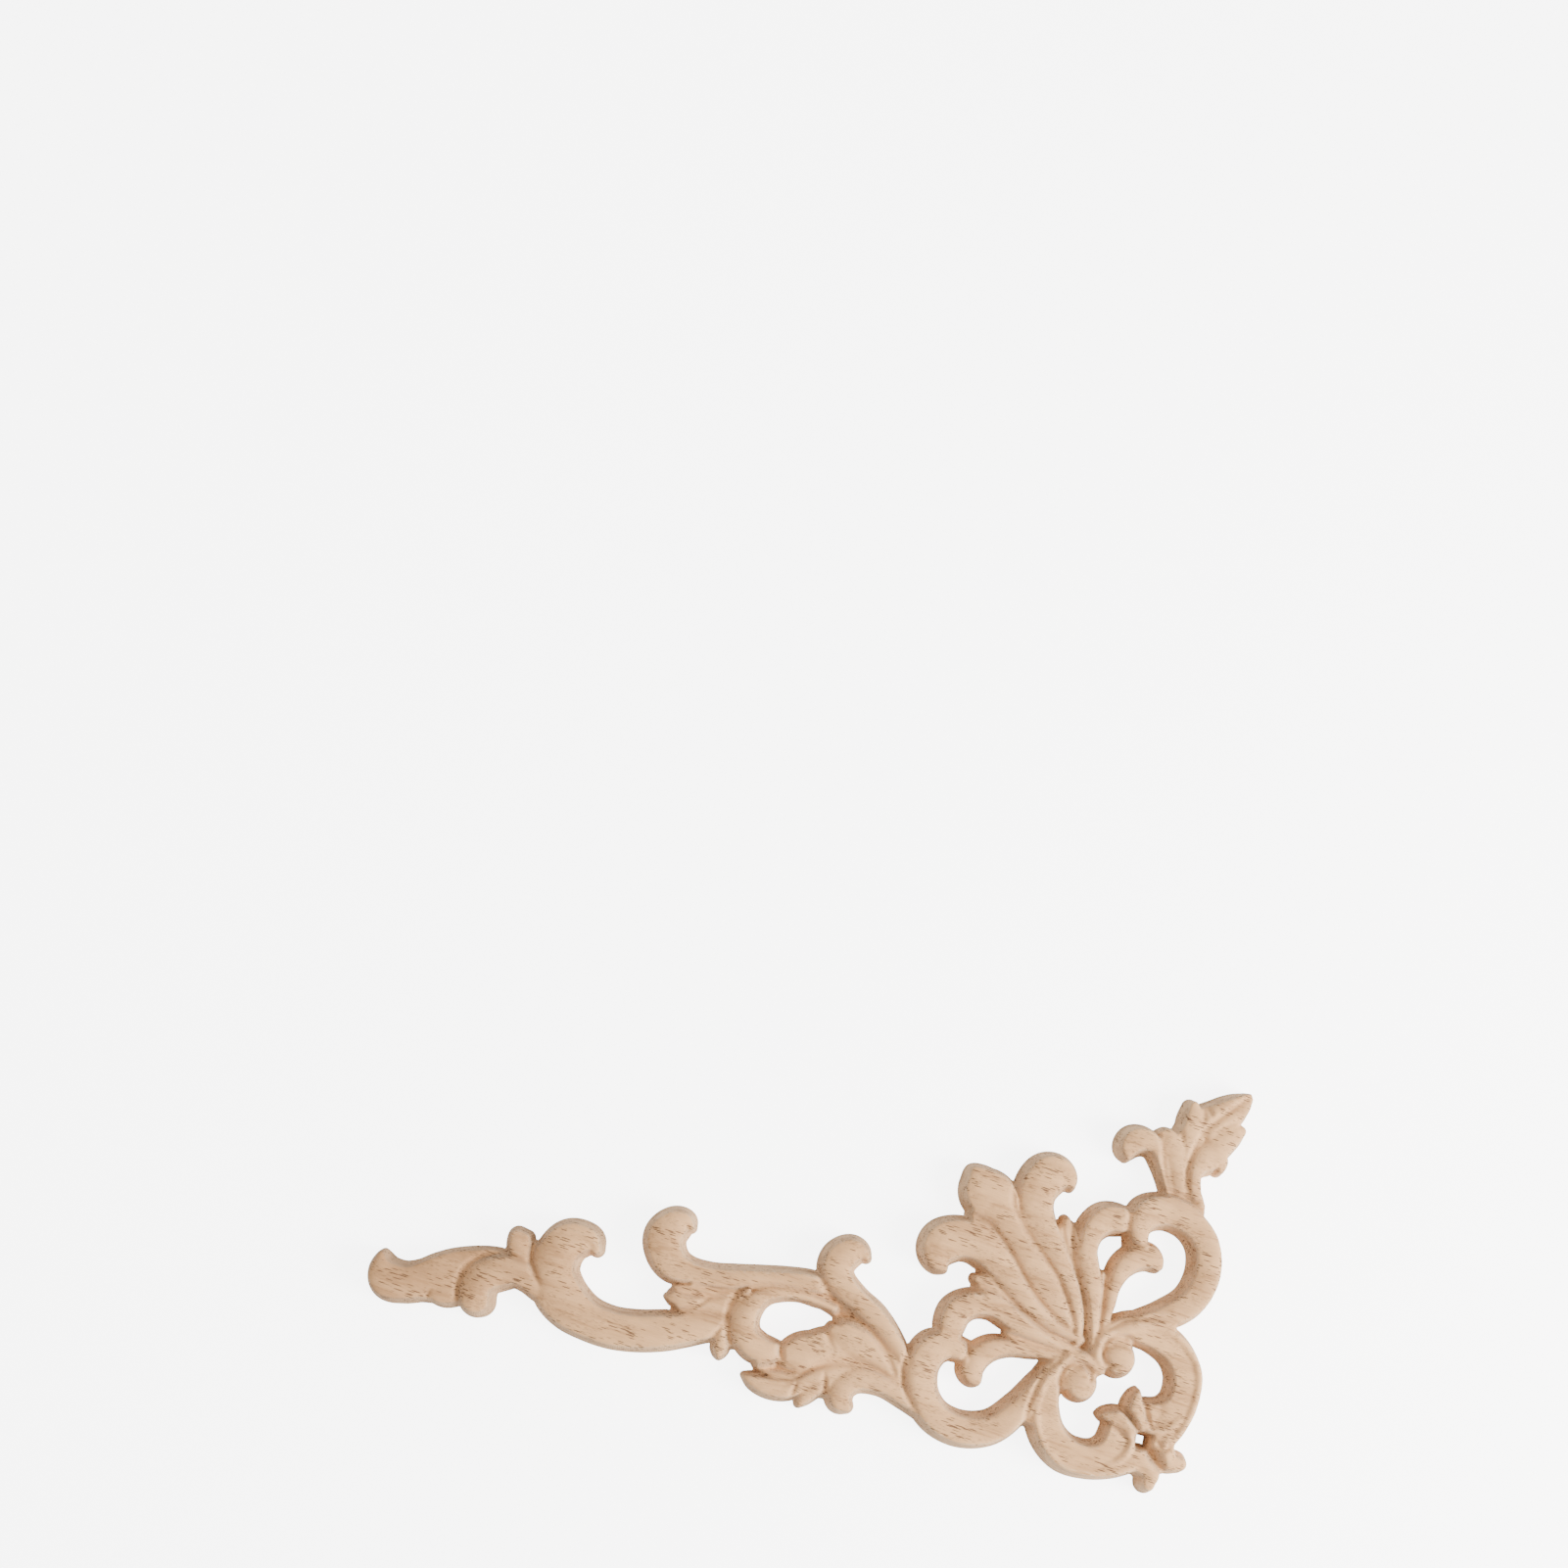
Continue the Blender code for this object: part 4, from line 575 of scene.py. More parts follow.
class Relief:
    """The carving's height over a grid of points, in the drawing's millimetres.

    Attributes:
        step: distance between the grid's points.
        x: the grid's columns.
        y: the grid's rows.
        top: height of the domes at each point.
        wall: height that the steep walls allow there, below zero outside the wood.
        height: height of the surface there, 0 or less where there is no wood.
    """

    def __init__(self, step: float) -> None:
        """Lay out an empty grid.

        Args:
            step: distance between its points.
        """
        self.step = step
        self.x = np.arange(-MARGIN, DRAWN_LENGTH + MARGIN + step, step)
        self.y = np.arange(-MARGIN, DRAWN_WIDTH + MARGIN + step, step)
        self.top = np.full((len(self.y), len(self.x)), DEEP)
        self.wall = np.full((len(self.y), len(self.x)), DEEP)
        self.height = self.top

    def window(self, low: np.ndarray, high: np.ndarray) -> tuple[slice, slice]:
        """Find the grid's rows and columns between two corners.

        Args:
            low: lowest x and y.
            high: highest x and y.

        Returns:
            The slice of rows and the slice of columns.
        """
        columns = np.searchsorted(self.x, (low[0], high[0]))
        rows = np.searchsorted(self.y, (low[1], high[1]))
        return slice(int(rows[0]), int(rows[1])), slice(int(columns[0]), int(columns[1]))

    def sweep(self, stations: np.ndarray, lean: float, reach: float) -> tuple:
        """Measure how far each point lies from a swept row of discs.

        Args:
            stations: rows of x, y, half width and crest height.
            lean: how far the discs' crest lies left of the path, in half widths.
            reach: how far outside the discs to measure.

        Returns:
            The window, then arrays over it: the share of the way from crest to edge, the half width
            and the crest there, the distance outside the discs, and the crest of the nearest disc.
        """
        path = smooth_path(stations, PATH_STEP)
        path[:, 2] = np.maximum(path[:, 2], THINNEST)
        along = np.gradient(path[:, :2], axis=0) if len(path) > 1 else np.array([[1.0, 0.0]])
        along /= np.maximum(np.linalg.norm(along, axis=1), TINY)[:, None]
        aside = np.stack([-along[:, 1], along[:, 0]], axis=1) * lean * path[:, 2:3]
        size = path[:, 2:3] + reach
        window = self.window((path[:, :2] - size).min(axis=0), (path[:, :2] + size).max(axis=0))
        shape = self.top[window].shape
        share, gap = np.full(shape, FAR), np.full(shape, FAR)
        width, crest, near = np.ones(shape), np.zeros(shape), np.zeros(shape)
        for (x, y, radius, z), (off_x, off_y) in zip(path, aside):
            spot = np.array((x, y))
            rows, columns = self.window(spot - (radius + reach), spot + (radius + reach))
            part = (
                slice(rows.start - window[0].start, rows.stop - window[0].start),
                slice(columns.start - window[1].start, columns.stop - window[1].start),
            )
            dx = self.x[columns][None, :] - x
            dy = self.y[rows][:, None] - y
            away = np.hypot(dx, dy) - radius
            closer = away < gap[part]
            gap[part] = np.where(closer, away, gap[part])
            near[part] = np.where(closer, z, near[part])
            lx, ly = dx - off_x, dy - off_y
            square = lx * lx + ly * ly
            dot = lx * off_x + ly * off_y
            root = np.sqrt(dot * dot + square * (radius * radius - off_x * off_x - off_y * off_y))
            ratio = square / np.maximum(root - dot, TINY)
            better = ratio < share[part]
            share[part] = np.where(better, ratio, share[part])
            width[part] = np.where(better, radius, width[part])
            crest[part] = np.where(better, z, crest[part])
        return window, np.minimum(share, 1), width, crest, gap, near

    def add(self, stations: np.ndarray, crown: float, bulge: float, lean: float) -> None:
        """Add a stroke: its domed top, and the steep wall round it.

        Args:
            stations: rows of x, y, half width and crest height.
            crown: drop from the crest to the edge.
            bulge: 2 for a round top, more for a flatter one.
            lean: how far the crest lies left of the path, in half widths.
        """
        window, share, width, crest, gap, near = self.sweep(stations, lean, REACH)
        dome = crest - crown * (1 - np.maximum(1 - share**bulge, 0) ** EASE)
        top = np.where(gap > 0, near - crown - SKIRT_FALL * gap, dome)
        top = np.where(gap < FAR, top, DEEP)
        self.top[window] = np.maximum(self.top[window], top)
        self.add_wall(window, width, gap)

    def add_wall(self, window: tuple[slice, slice], width: np.ndarray, gap: np.ndarray) -> None:
        """Raise the steep wall that bounds the wood.

        Args:
            window: the rows and columns.
            width: half width of the stroke at each point.
            gap: distance outside the stroke's edge.
        """
        run = np.where(gap > 0, WALL_RUN, np.minimum(WALL_RUN, NARROW_RUN * width))
        wall = np.where(gap < FAR, -gap * SHOULDER / run, DEEP)
        self.wall[window] = np.maximum(self.wall[window], wall)

    def cut(self, points: np.ndarray, width: float, depth: float) -> None:
        """Cut a V crease that runs out at its ends.

        Args:
            points: rows of x and y.
            width: half width at the surface.
            depth: depth at its middle.
        """
        last = len(points) - 1
        fade = np.array([min(1, i, last - i) for i in range(last + 1)], float)
        widths = width * (CREASE_END_WIDTH + (1 - CREASE_END_WIDTH) * fade)
        depths = depth * (CREASE_END_DEPTH + (1 - CREASE_END_DEPTH) * fade)
        stations = np.column_stack([points, widths, depths])
        window, share, _, dent, _, _ = self.sweep(stations, 0.0, CREASE_REACH)
        part = self.height[window]
        cut = np.maximum(part - dent * (1 - share), np.minimum(part, CREASE_FLOOR))
        self.height[window] = np.where(part > 0, cut, part)

    def drill(self, pit: Pit) -> None:
        """Sink a square hole.

        Args:
            pit: its place and size.
        """
        outside_x = np.abs(self.x[None, :] - pit.x) - pit.half_x
        outside_y = np.abs(self.y[:, None] - pit.y) - pit.half_y
        side = np.maximum(outside_x, outside_y) * CREST / pit.run
        self.height = np.minimum(self.height, side)

    def carve(self) -> np.ndarray:
        """Carve the whole drawing.

        Returns:
            The height at each point, in millimetres.
        """
        for stroke in STROKES:
            leans = (stroke.lean, -stroke.lean)
            for path, lean in zip(with_twin(np.array(stroke.path), stroke.twin), leans):
                self.add(path, stroke.crown, stroke.bulge, lean)
        for core in CORES:
            for path in with_twin(np.array([(*station, 0.0) for station in core.path]), core.twin):
                window, _, width, _, gap, _ = self.sweep(path, 0.0, REACH)
                self.add_wall(window, width, gap)
        self.height = np.minimum(self.top, self.wall)
        for crease in CREASES:
            for path in with_twin(np.array(crease.points), crease.twin):
                self.cut(path, crease.width, crease.depth)
        self.drill(CORNER_PIT)
        return self.height


# The looks, in metres unless a name says otherwise

MILLIMETRE = 0.001
ORIGIN_X = 172.0  # where the frame's origin lies in the drawing, in millimetres
ORIGIN_Y = 27.0
WHITE = (1.0, 1.0, 1.0)

# Ranges that a ramp maps: from where to where, and the results at those two ends

CROWD_RANGE = (0.40, 0.62, 0.1, 1.1)  # how crowded a patch is, to how far its pores reach
PORE_RIM = (0.65, 1.0, 1.0, 0.0)  # way out from a pore's middle, to how much of it shows
BAND_RANGE = (0.3, 0.7, 0.0, 1.0)  # the wandering noise, to a growth band
LINE_RANGE = (0.6, 1.0, 0.0, 0.8)  # a narrow band, to a thin dark line
LINE_PLACE = (0.3, 0.8, 0.0, 1.0)  # a wide band, to how strongly those lines show in it
STREAK_RANGE = (0.35, 0.65, 0.0, 1.0)  # the fibres, to their streaks
FUZZ_RANGE = (0.5, 0.62, 0.0, 0.8)  # the fibres, to those that are torn up along an edge
SIDE_RANGE = (-0.15, 0.15, 0.0, 1.0)  # which way a side faces, to which ridges it takes
STEEP_RANGE = (0.45, 0.85, 1.0, 0.0)  # how far a normal points up, to how steep the side counts
CHATTER_RANGE = (0.55, 0.95, 1.0, 0.25)  # the same, to how strongly the cutter chattered
FOOT_RANGE = (0.0, 3.0, 0.0, 1.0)  # height above the foot as a share of it, to how freely the face moves

# Sizes of the wood's patterns

PORE_HEIGHT = 3.0  # height of a pore's cell, in pore widths
CROWD_CELL = (9.0, 3.0, 3.0)  # patches with more pores or fewer, in millimetres
WANDER_CELL = (38.0, 14.0, 14.0)  # bends of the growth bands, in millimetres
BAND_LENGTH = 14.0  # length of a growth band, in band widths
BAND_DETAIL = 3.0  # how many finer waves a band has
FIBRE_LENGTH = 16.0  # length of a fibre, in fibre widths
FIBRE_DETAIL = 4.0  # the same for a fibre
JITTER_SCALE = 0.9  # bends of the cutter's marks, for each millimetre
JITTER = 1.6  # how far those marks bend, in pitches
SMALL_SHIFT = (40.0, 7.0, 3.0)  # keeps the small pores off the large ones, in millimetres


class Graph:
    """Adds nodes to a tree and links them."""

    def __init__(self, tree: bpy.types.NodeTree) -> None:
        """Work on a tree.

        Args:
            tree: the node tree.
        """
        self.tree = tree

    def add(self, kind: str, *values: object, **settings: object) -> bpy.types.Node:
        """Add a node.

        Args:
            kind: the node's type.
            values: what its first inputs take, in order: a socket to link, a value to set, or None.
            settings: the node's own options.

        Returns:
            The node.
        """
        node = self.tree.nodes.new(kind)
        for name, value in settings.items():
            setattr(node, name, value)
        for socket, value in zip(node.inputs, values):
            self.feed(socket, value)
        return node

    def feed(self, socket: bpy.types.NodeSocket, value: object) -> None:
        """Link a socket, or set its value.

        Args:
            socket: the input.
            value: a socket to link, a value to set, or None to leave it.
        """
        if isinstance(value, bpy.types.NodeSocket):
            self.tree.links.new(value, socket)
        elif value is not None:
            socket.default_value = value

    def math(self, operation: str, *values: object) -> bpy.types.NodeSocket:
        """Add a Math node.

        Args:
            operation: what it does.
            values: its inputs.

        Returns:
            Its result.
        """
        return self.add("ShaderNodeMath", *values, operation=operation).outputs[0]

    def ramp(
        self, value: object, low: float, high: float, start: float, end: float
    ) -> bpy.types.NodeSocket:
        """Map a range smoothly onto another, and hold its ends.

        Args:
            value: what is mapped.
            low: where the range starts.
            high: where it ends.
            start: the result at low and below.
            end: the result at high and above.

        Returns:
            The mapped value.
        """
        node = self.add(
            "ShaderNodeMapRange", value, low, high, start, end, interpolation_type="SMOOTHSTEP"
        )
        return node.outputs[0]

    def noise(
        self, place: object, scale: float = 1.0, detail: float = 2.0, seed: object = None
    ) -> bpy.types.bpy_prop_collection:
        """Add a Noise Texture.

        Args:
            place: where it is read.
            scale: its waves for each unit of the place.
            detail: how many finer waves it adds.
            seed: picks another pattern, if there is one.

        Returns:
            Its outputs.
        """
        kind = "3D" if seed is None else "4D"
        node = self.add("ShaderNodeTexNoise", place, noise_dimensions=kind)
        node.inputs["Scale"].default_value = scale
        node.inputs["Detail"].default_value = detail
        if seed is not None:
            self.feed(node.inputs["W"], seed)
        return node.outputs

    def blend(
        self, factor: object, first: object, second: object, how: str = "MIX"
    ) -> bpy.types.NodeSocket:
        """Mix two colours.

        Args:
            factor: how much of the second shows.
            first: the first colour.
            second: the second colour.
            how: the way they mix.

        Returns:
            The mixed colour.
        """
        node = self.add("ShaderNodeMix", factor, data_type="RGBA", blend_type=how)
        self.feed(node.inputs[6], first)
        self.feed(node.inputs[7], second)
        return node.outputs[2]

    def stretch(self, vector: object, size: tuple[object, object, object]) -> bpy.types.NodeSocket:
        """Measure a place in cells of their own size along each axis.

        Args:
            vector: the place.
            size: the cell's length along each axis.

        Returns:
            The place in cells.
        """
        cell = self.add("ShaderNodeCombineXYZ", *size).outputs[0]
        return self.add("ShaderNodeVectorMath", vector, cell, operation="DIVIDE").outputs[0]


def new_group(
    name: str, inputs: tuple[tuple[str, str], ...], outputs: tuple[str, ...]
) -> tuple[Graph, bpy.types.bpy_prop_collection, bpy.types.bpy_prop_collection]:
    """Start a shader node group.

    Args:
        name: its name.
        inputs: the name and the kind of each input.
        outputs: the name of each value that it puts out.

    Returns:
        The graph, the input node's outputs and the output node's inputs.
    """
    tree = bpy.data.node_groups.new(name, "ShaderNodeTree")
    for label, kind in inputs:
        tree.interface.new_socket(name=label, in_out="INPUT", socket_type="NodeSocket" + kind)
    for label in outputs:
        tree.interface.new_socket(name=label, in_out="OUTPUT", socket_type="NodeSocketFloat")
    graph = Graph(tree)
    return graph, graph.add("NodeGroupInput").outputs, graph.add("NodeGroupOutput").inputs


def pores_group() -> bpy.types.NodeTree:
    """Make the group for open pores: short dashes along the grain, and dots where it is cut across.

    Returns:
        The group. Its Pore output is 1 inside a pore.
    """
    sockets = (("Place", "Vector"), ("Length", "Float"), ("Width", "Float"), ("Share", "Float"))
    graph, given, result = new_group("open pores", sockets, ("Pore",))
    tall = graph.math("MULTIPLY", given["Width"], PORE_HEIGHT)
    cells = graph.stretch(given["Place"], (given["Length"], given["Width"], tall))
    nearest = graph.add("ShaderNodeTexVoronoi", cells, feature="F1")
    nearest.inputs["Scale"].default_value = 1.0
    crowd = graph.noise(graph.stretch(given["Place"], CROWD_CELL))
    reach = graph.math("MULTIPLY", given["Share"], graph.ramp(crowd[0], *CROWD_RANGE))
    inside = graph.math("DIVIDE", nearest.outputs["Distance"], reach)
    graph.feed(result["Pore"], graph.ramp(inside, *PORE_RIM))
    return graph.tree


def grain_group() -> bpy.types.NodeTree:
    """Make the group for the wood's growth bands and its fibres.

    Returns:
        The group. Band runs from 0 to 1 across the growth rings, and Fibre across the fine streaks.
    """
    sockets = (("Place", "Vector"), ("Band Width", "Float"), ("Fibre Width", "Float"))
    graph, given, result = new_group("growth bands", sockets, ("Band", "Fibre"))
    wander = graph.noise(graph.stretch(given["Place"], WANDER_CELL))[1]
    length = graph.math("MULTIPLY", given["Band Width"], BAND_LENGTH)
    bands = graph.stretch(given["Place"], (length, given["Band Width"], given["Band Width"]))
    moved = graph.add("ShaderNodeVectorMath", bands, wander, operation="ADD").outputs[0]
    wide = graph.noise(moved, detail=BAND_DETAIL)[0]
    graph.feed(result["Band"], graph.ramp(wide, *BAND_RANGE))
    thread = graph.math("MULTIPLY", given["Fibre Width"], FIBRE_LENGTH)
    streaks = graph.stretch(given["Place"], (thread, given["Fibre Width"], given["Fibre Width"]))
    graph.feed(result["Fibre"], graph.noise(streaks, detail=FIBRE_DETAIL)[0])
    return graph.tree


def cutter_group() -> bpy.types.NodeTree:
    """Make the group for the fine marks that a cutter leaves down a steep side.

    Returns:
        The group. Ridge is 1 on a ridge of a steep side, and Steep is 1 all over such a side. Both are
        0 on level wood.
    """
    sockets = (("Place", "Vector"), ("Normal", "Vector"), ("Pitch", "Float"))
    graph, given, result = new_group("cutter marks", sockets, ("Ridge", "Steep"))
    place = graph.add("ShaderNodeSeparateXYZ", given["Place"]).outputs
    normal = graph.add("ShaderNodeSeparateXYZ", given["Normal"]).outputs
    jitter = graph.noise(given["Place"], JITTER_SCALE)[0]
    ridges = []
    for axis in (0, 1):
        turns = graph.math("DIVIDE", place[axis], given["Pitch"])
        turns = graph.math("ADD", turns, graph.math("MULTIPLY", jitter, JITTER))
        ridges.append(graph.math("SINE", graph.math("MULTIPLY", turns, math.tau)))
    across = graph.math("ABSOLUTE", normal[0])
    along = graph.math("ABSOLUTE", normal[1])
    share = graph.ramp(graph.math("SUBTRACT", across, along), *SIDE_RANGE)
    mixed = graph.add("ShaderNodeMix", share, data_type="FLOAT")
    graph.feed(mixed.inputs[2], ridges[0])
    graph.feed(mixed.inputs[3], ridges[1])
    steep = graph.ramp(graph.math("ABSOLUTE", normal[2]), *STEEP_RANGE)
    lifted = graph.math("MULTIPLY_ADD", mixed.outputs[0], 0.5, 0.5)
    graph.feed(result["Ridge"], graph.math("MULTIPLY", lifted, steep))
    graph.feed(result["Steep"], steep)
    return graph.tree


@dataclass(frozen=True)
class RawWood:
    """Sanded, unfinished pale hardwood with open pores. Sizes are in millimetres.

    Attributes:
        light: colour between the growth bands.
        dark: colour of the growth bands.
        pore: colour in a pore.
        shade: painted shade, what the colour is multiplied by deep in a crease.
        cut: what it is multiplied by on a steep side, painted light that makes the walls paler and less
            orange.
        raised: colour of the torn fibres along an edge.
        grain_turn: angle of the grain from the long arm, in degrees.
        band_width: width of a growth band.
        line_width: width of the thin dark lines inside the bands.
        fibre_width: width of a fibre streak.
        heart: from where to where along the arm the wood turns from brown to pale.
        heart_tone: how much darker the brown part is.
        streak_tone: how dark the fibre streaks are.
        band_tone: how dark the growth bands are.
        pore_length: spacing of the pores along the grain.
        pore_width: their spacing across it.
        large_pores: share of their spacing that the large pores fill, and how dark they are.
        small_pores: the same for the small ones.
        mark_pitch: distance between the cutter's marks.
        pore_depth: depth of a pore.
        fibre_height: height of a fibre.
        mark_height: height of a cutter mark.
        roughness: how dull the sanded face is.
        dark_roughness: how much duller the dark wood is.
        specular: how strongly it reflects.
    """

    light: tuple[float, float, float, float] = (0.80, 0.452, 0.207, 1.0)
    dark: tuple[float, float, float, float] = (0.50, 0.262, 0.115, 1.0)
    pore: tuple[float, float, float, float] = (0.16, 0.08, 0.04, 1.0)
    shade: tuple[float, float, float, float] = (0.55, 0.62, 0.74, 1.0)
    cut: tuple[float, float, float, float] = (0.93, 1.06, 1.28, 1.0)
    raised: tuple[float, float, float, float] = (0.88, 0.60, 0.35, 1.0)
    grain_turn: float = 4.0
    band_width: float = 3.4
    line_width: float = 0.75
    fibre_width: float = 0.22
    heart: tuple[float, float] = (-150.0, -105.0)
    heart_tone: float = 0.32
    streak_tone: float = 0.3
    band_tone: float = 0.5
    pore_length: float = 3.9
    pore_width: float = 0.37
    large_pores: tuple[float, float] = (0.36, 0.95)
    small_pores: tuple[float, float] = (0.32, 0.5)
    mark_pitch: float = 0.5
    pore_depth: float = 0.09
    fibre_height: float = 0.05
    mark_height: float = 0.045
    roughness: float = 0.72
    dark_roughness: float = 0.12
    specular: float = 0.3

    def material(self) -> bpy.types.Material:
        """Make the material.

        Returns:
            The material.
        """
        material = bpy.data.materials.new("raw wood")
        material.use_nodes = True
        graph = Graph(material.node_tree)
        shader = graph.tree.nodes["Principled BSDF"]
        place, normal = self.place(graph)
        bands_tree = grain_group()
        bands = self.group(graph, bands_tree, place, (self.band_width, self.fibre_width))
        pores = self.pores(graph, place)
        marks = graph.add("ShaderNodeGroup", node_tree=cutter_group())
        for name, value in (("Place", place), ("Normal", normal), ("Pitch", self.mark_pitch)):
            graph.feed(marks.inputs[name], value)
        hollow = graph.add("ShaderNodeAttribute", attribute_name="hollow").outputs["Fac"]
        edge = graph.add("ShaderNodeAttribute", attribute_name="edge").outputs["Fac"]
        lines = self.group(graph, bands_tree, place, (self.line_width, self.fibre_width))["Band"]
        shown = graph.ramp(bands["Band"], *LINE_PLACE)
        lines = graph.math("MULTIPLY", graph.ramp(lines, *LINE_RANGE), shown)
        streaks = graph.ramp(bands["Fibre"], *STREAK_RANGE)
        along = graph.add("ShaderNodeSeparateXYZ", place).outputs[0]
        heart = graph.ramp(along, *self.heart, self.heart_tone, 0.0)
        tone = graph.math("MULTIPLY", bands["Band"], self.band_tone)
        tone = graph.math("MULTIPLY_ADD", streaks, self.streak_tone, tone)
        tone = graph.math("ADD", graph.math("ADD", tone, lines), heart)
        colour = graph.blend(tone, self.light, self.dark)
        fuzz = graph.math("MULTIPLY", edge, graph.ramp(bands["Fibre"], *FUZZ_RANGE))
        colour = graph.blend(fuzz, colour, self.raised)
        # painted light: the steep sides are made paler and less orange, standing in for the light they catch
        colour = graph.blend(marks.outputs["Steep"], colour, self.cut, "MULTIPLY")
        # painted shade: darkens the colour where the face lies below the wood around it, in creases and
        # hollows
        colour = graph.blend(hollow, colour, self.shade, "MULTIPLY")
        colour = graph.blend(pores, colour, self.pore)
        graph.feed(shader.inputs["Base Color"], colour)
        dull = graph.ramp(tone, 0.0, 1.0, self.roughness, self.roughness + self.dark_roughness)
        graph.feed(shader.inputs["Roughness"], dull)
        shader.inputs["Specular IOR Level"].default_value = self.specular
        height = graph.math("MULTIPLY", pores, -self.pore_depth)
        height = graph.math("MULTIPLY_ADD", bands["Fibre"], self.fibre_height, height)
        height = graph.math("MULTIPLY_ADD", marks.outputs["Ridge"], self.mark_height, height)
        bump = graph.add("ShaderNodeBump")
        bump.inputs["Strength"].default_value = 1.0
        bump.inputs["Distance"].default_value = MILLIMETRE
        graph.feed(bump.inputs["Height"], height)
        graph.feed(shader.inputs["Normal"], bump.outputs[0])
        return material

    def place(self, graph: Graph) -> tuple[bpy.types.NodeSocket, bpy.types.NodeSocket]:
        """Give the place on the wood, in millimetres with X along the grain, and the surface's normal.

        Args:
            graph: the material's graph.

        Returns:
            The place and the normal.
        """
        where = graph.add("ShaderNodeTexCoord").outputs
        scaled = graph.add("ShaderNodeVectorMath", where["Object"], operation="SCALE")
        scaled.inputs["Scale"].default_value = 1 / MILLIMETRE
        turned = graph.add("ShaderNodeVectorRotate", scaled.outputs[0], rotation_type="Z_AXIS")
        turned.inputs["Angle"].default_value = math.radians(self.grain_turn)
        return turned.outputs[0], where["Normal"]

    def group(
        self, graph: Graph, tree: bpy.types.NodeTree, place: bpy.types.NodeSocket, values: tuple[float, ...]
    ) -> bpy.types.bpy_prop_collection:
        """Place a shared group in the material.

        Args:
            graph: the material's graph.
            tree: the group.
            place: the place on the wood.
            values: what its inputs after Place take.

        Returns:
            Its outputs.
        """
        node = graph.add("ShaderNodeGroup", node_tree=tree)
        for socket, value in zip(node.inputs, (place, *values)):
            graph.feed(socket, value)
        return node.outputs

    def pores(self, graph: Graph, place: bpy.types.NodeSocket) -> bpy.types.NodeSocket:
        """Lay large pores over small ones.

        Args:
            graph: the material's graph.
            place: the place on the wood.

        Returns:
            How much of a pore shows.
        """
        tree = pores_group()
        moved = graph.add("ShaderNodeVectorMath", place, SMALL_SHIFT, operation="ADD").outputs[0]
        shown = []
        for where, size, (share, dark) in ((place, 1, self.large_pores), (moved, 2, self.small_pores)):
            values = (self.pore_length / size, self.pore_width / size, share)
            pore = self.group(graph, tree, where, values)["Pore"]
            shown.append(graph.math("MULTIPLY", pore, dark))
        return graph.math("MAXIMUM", *shown)


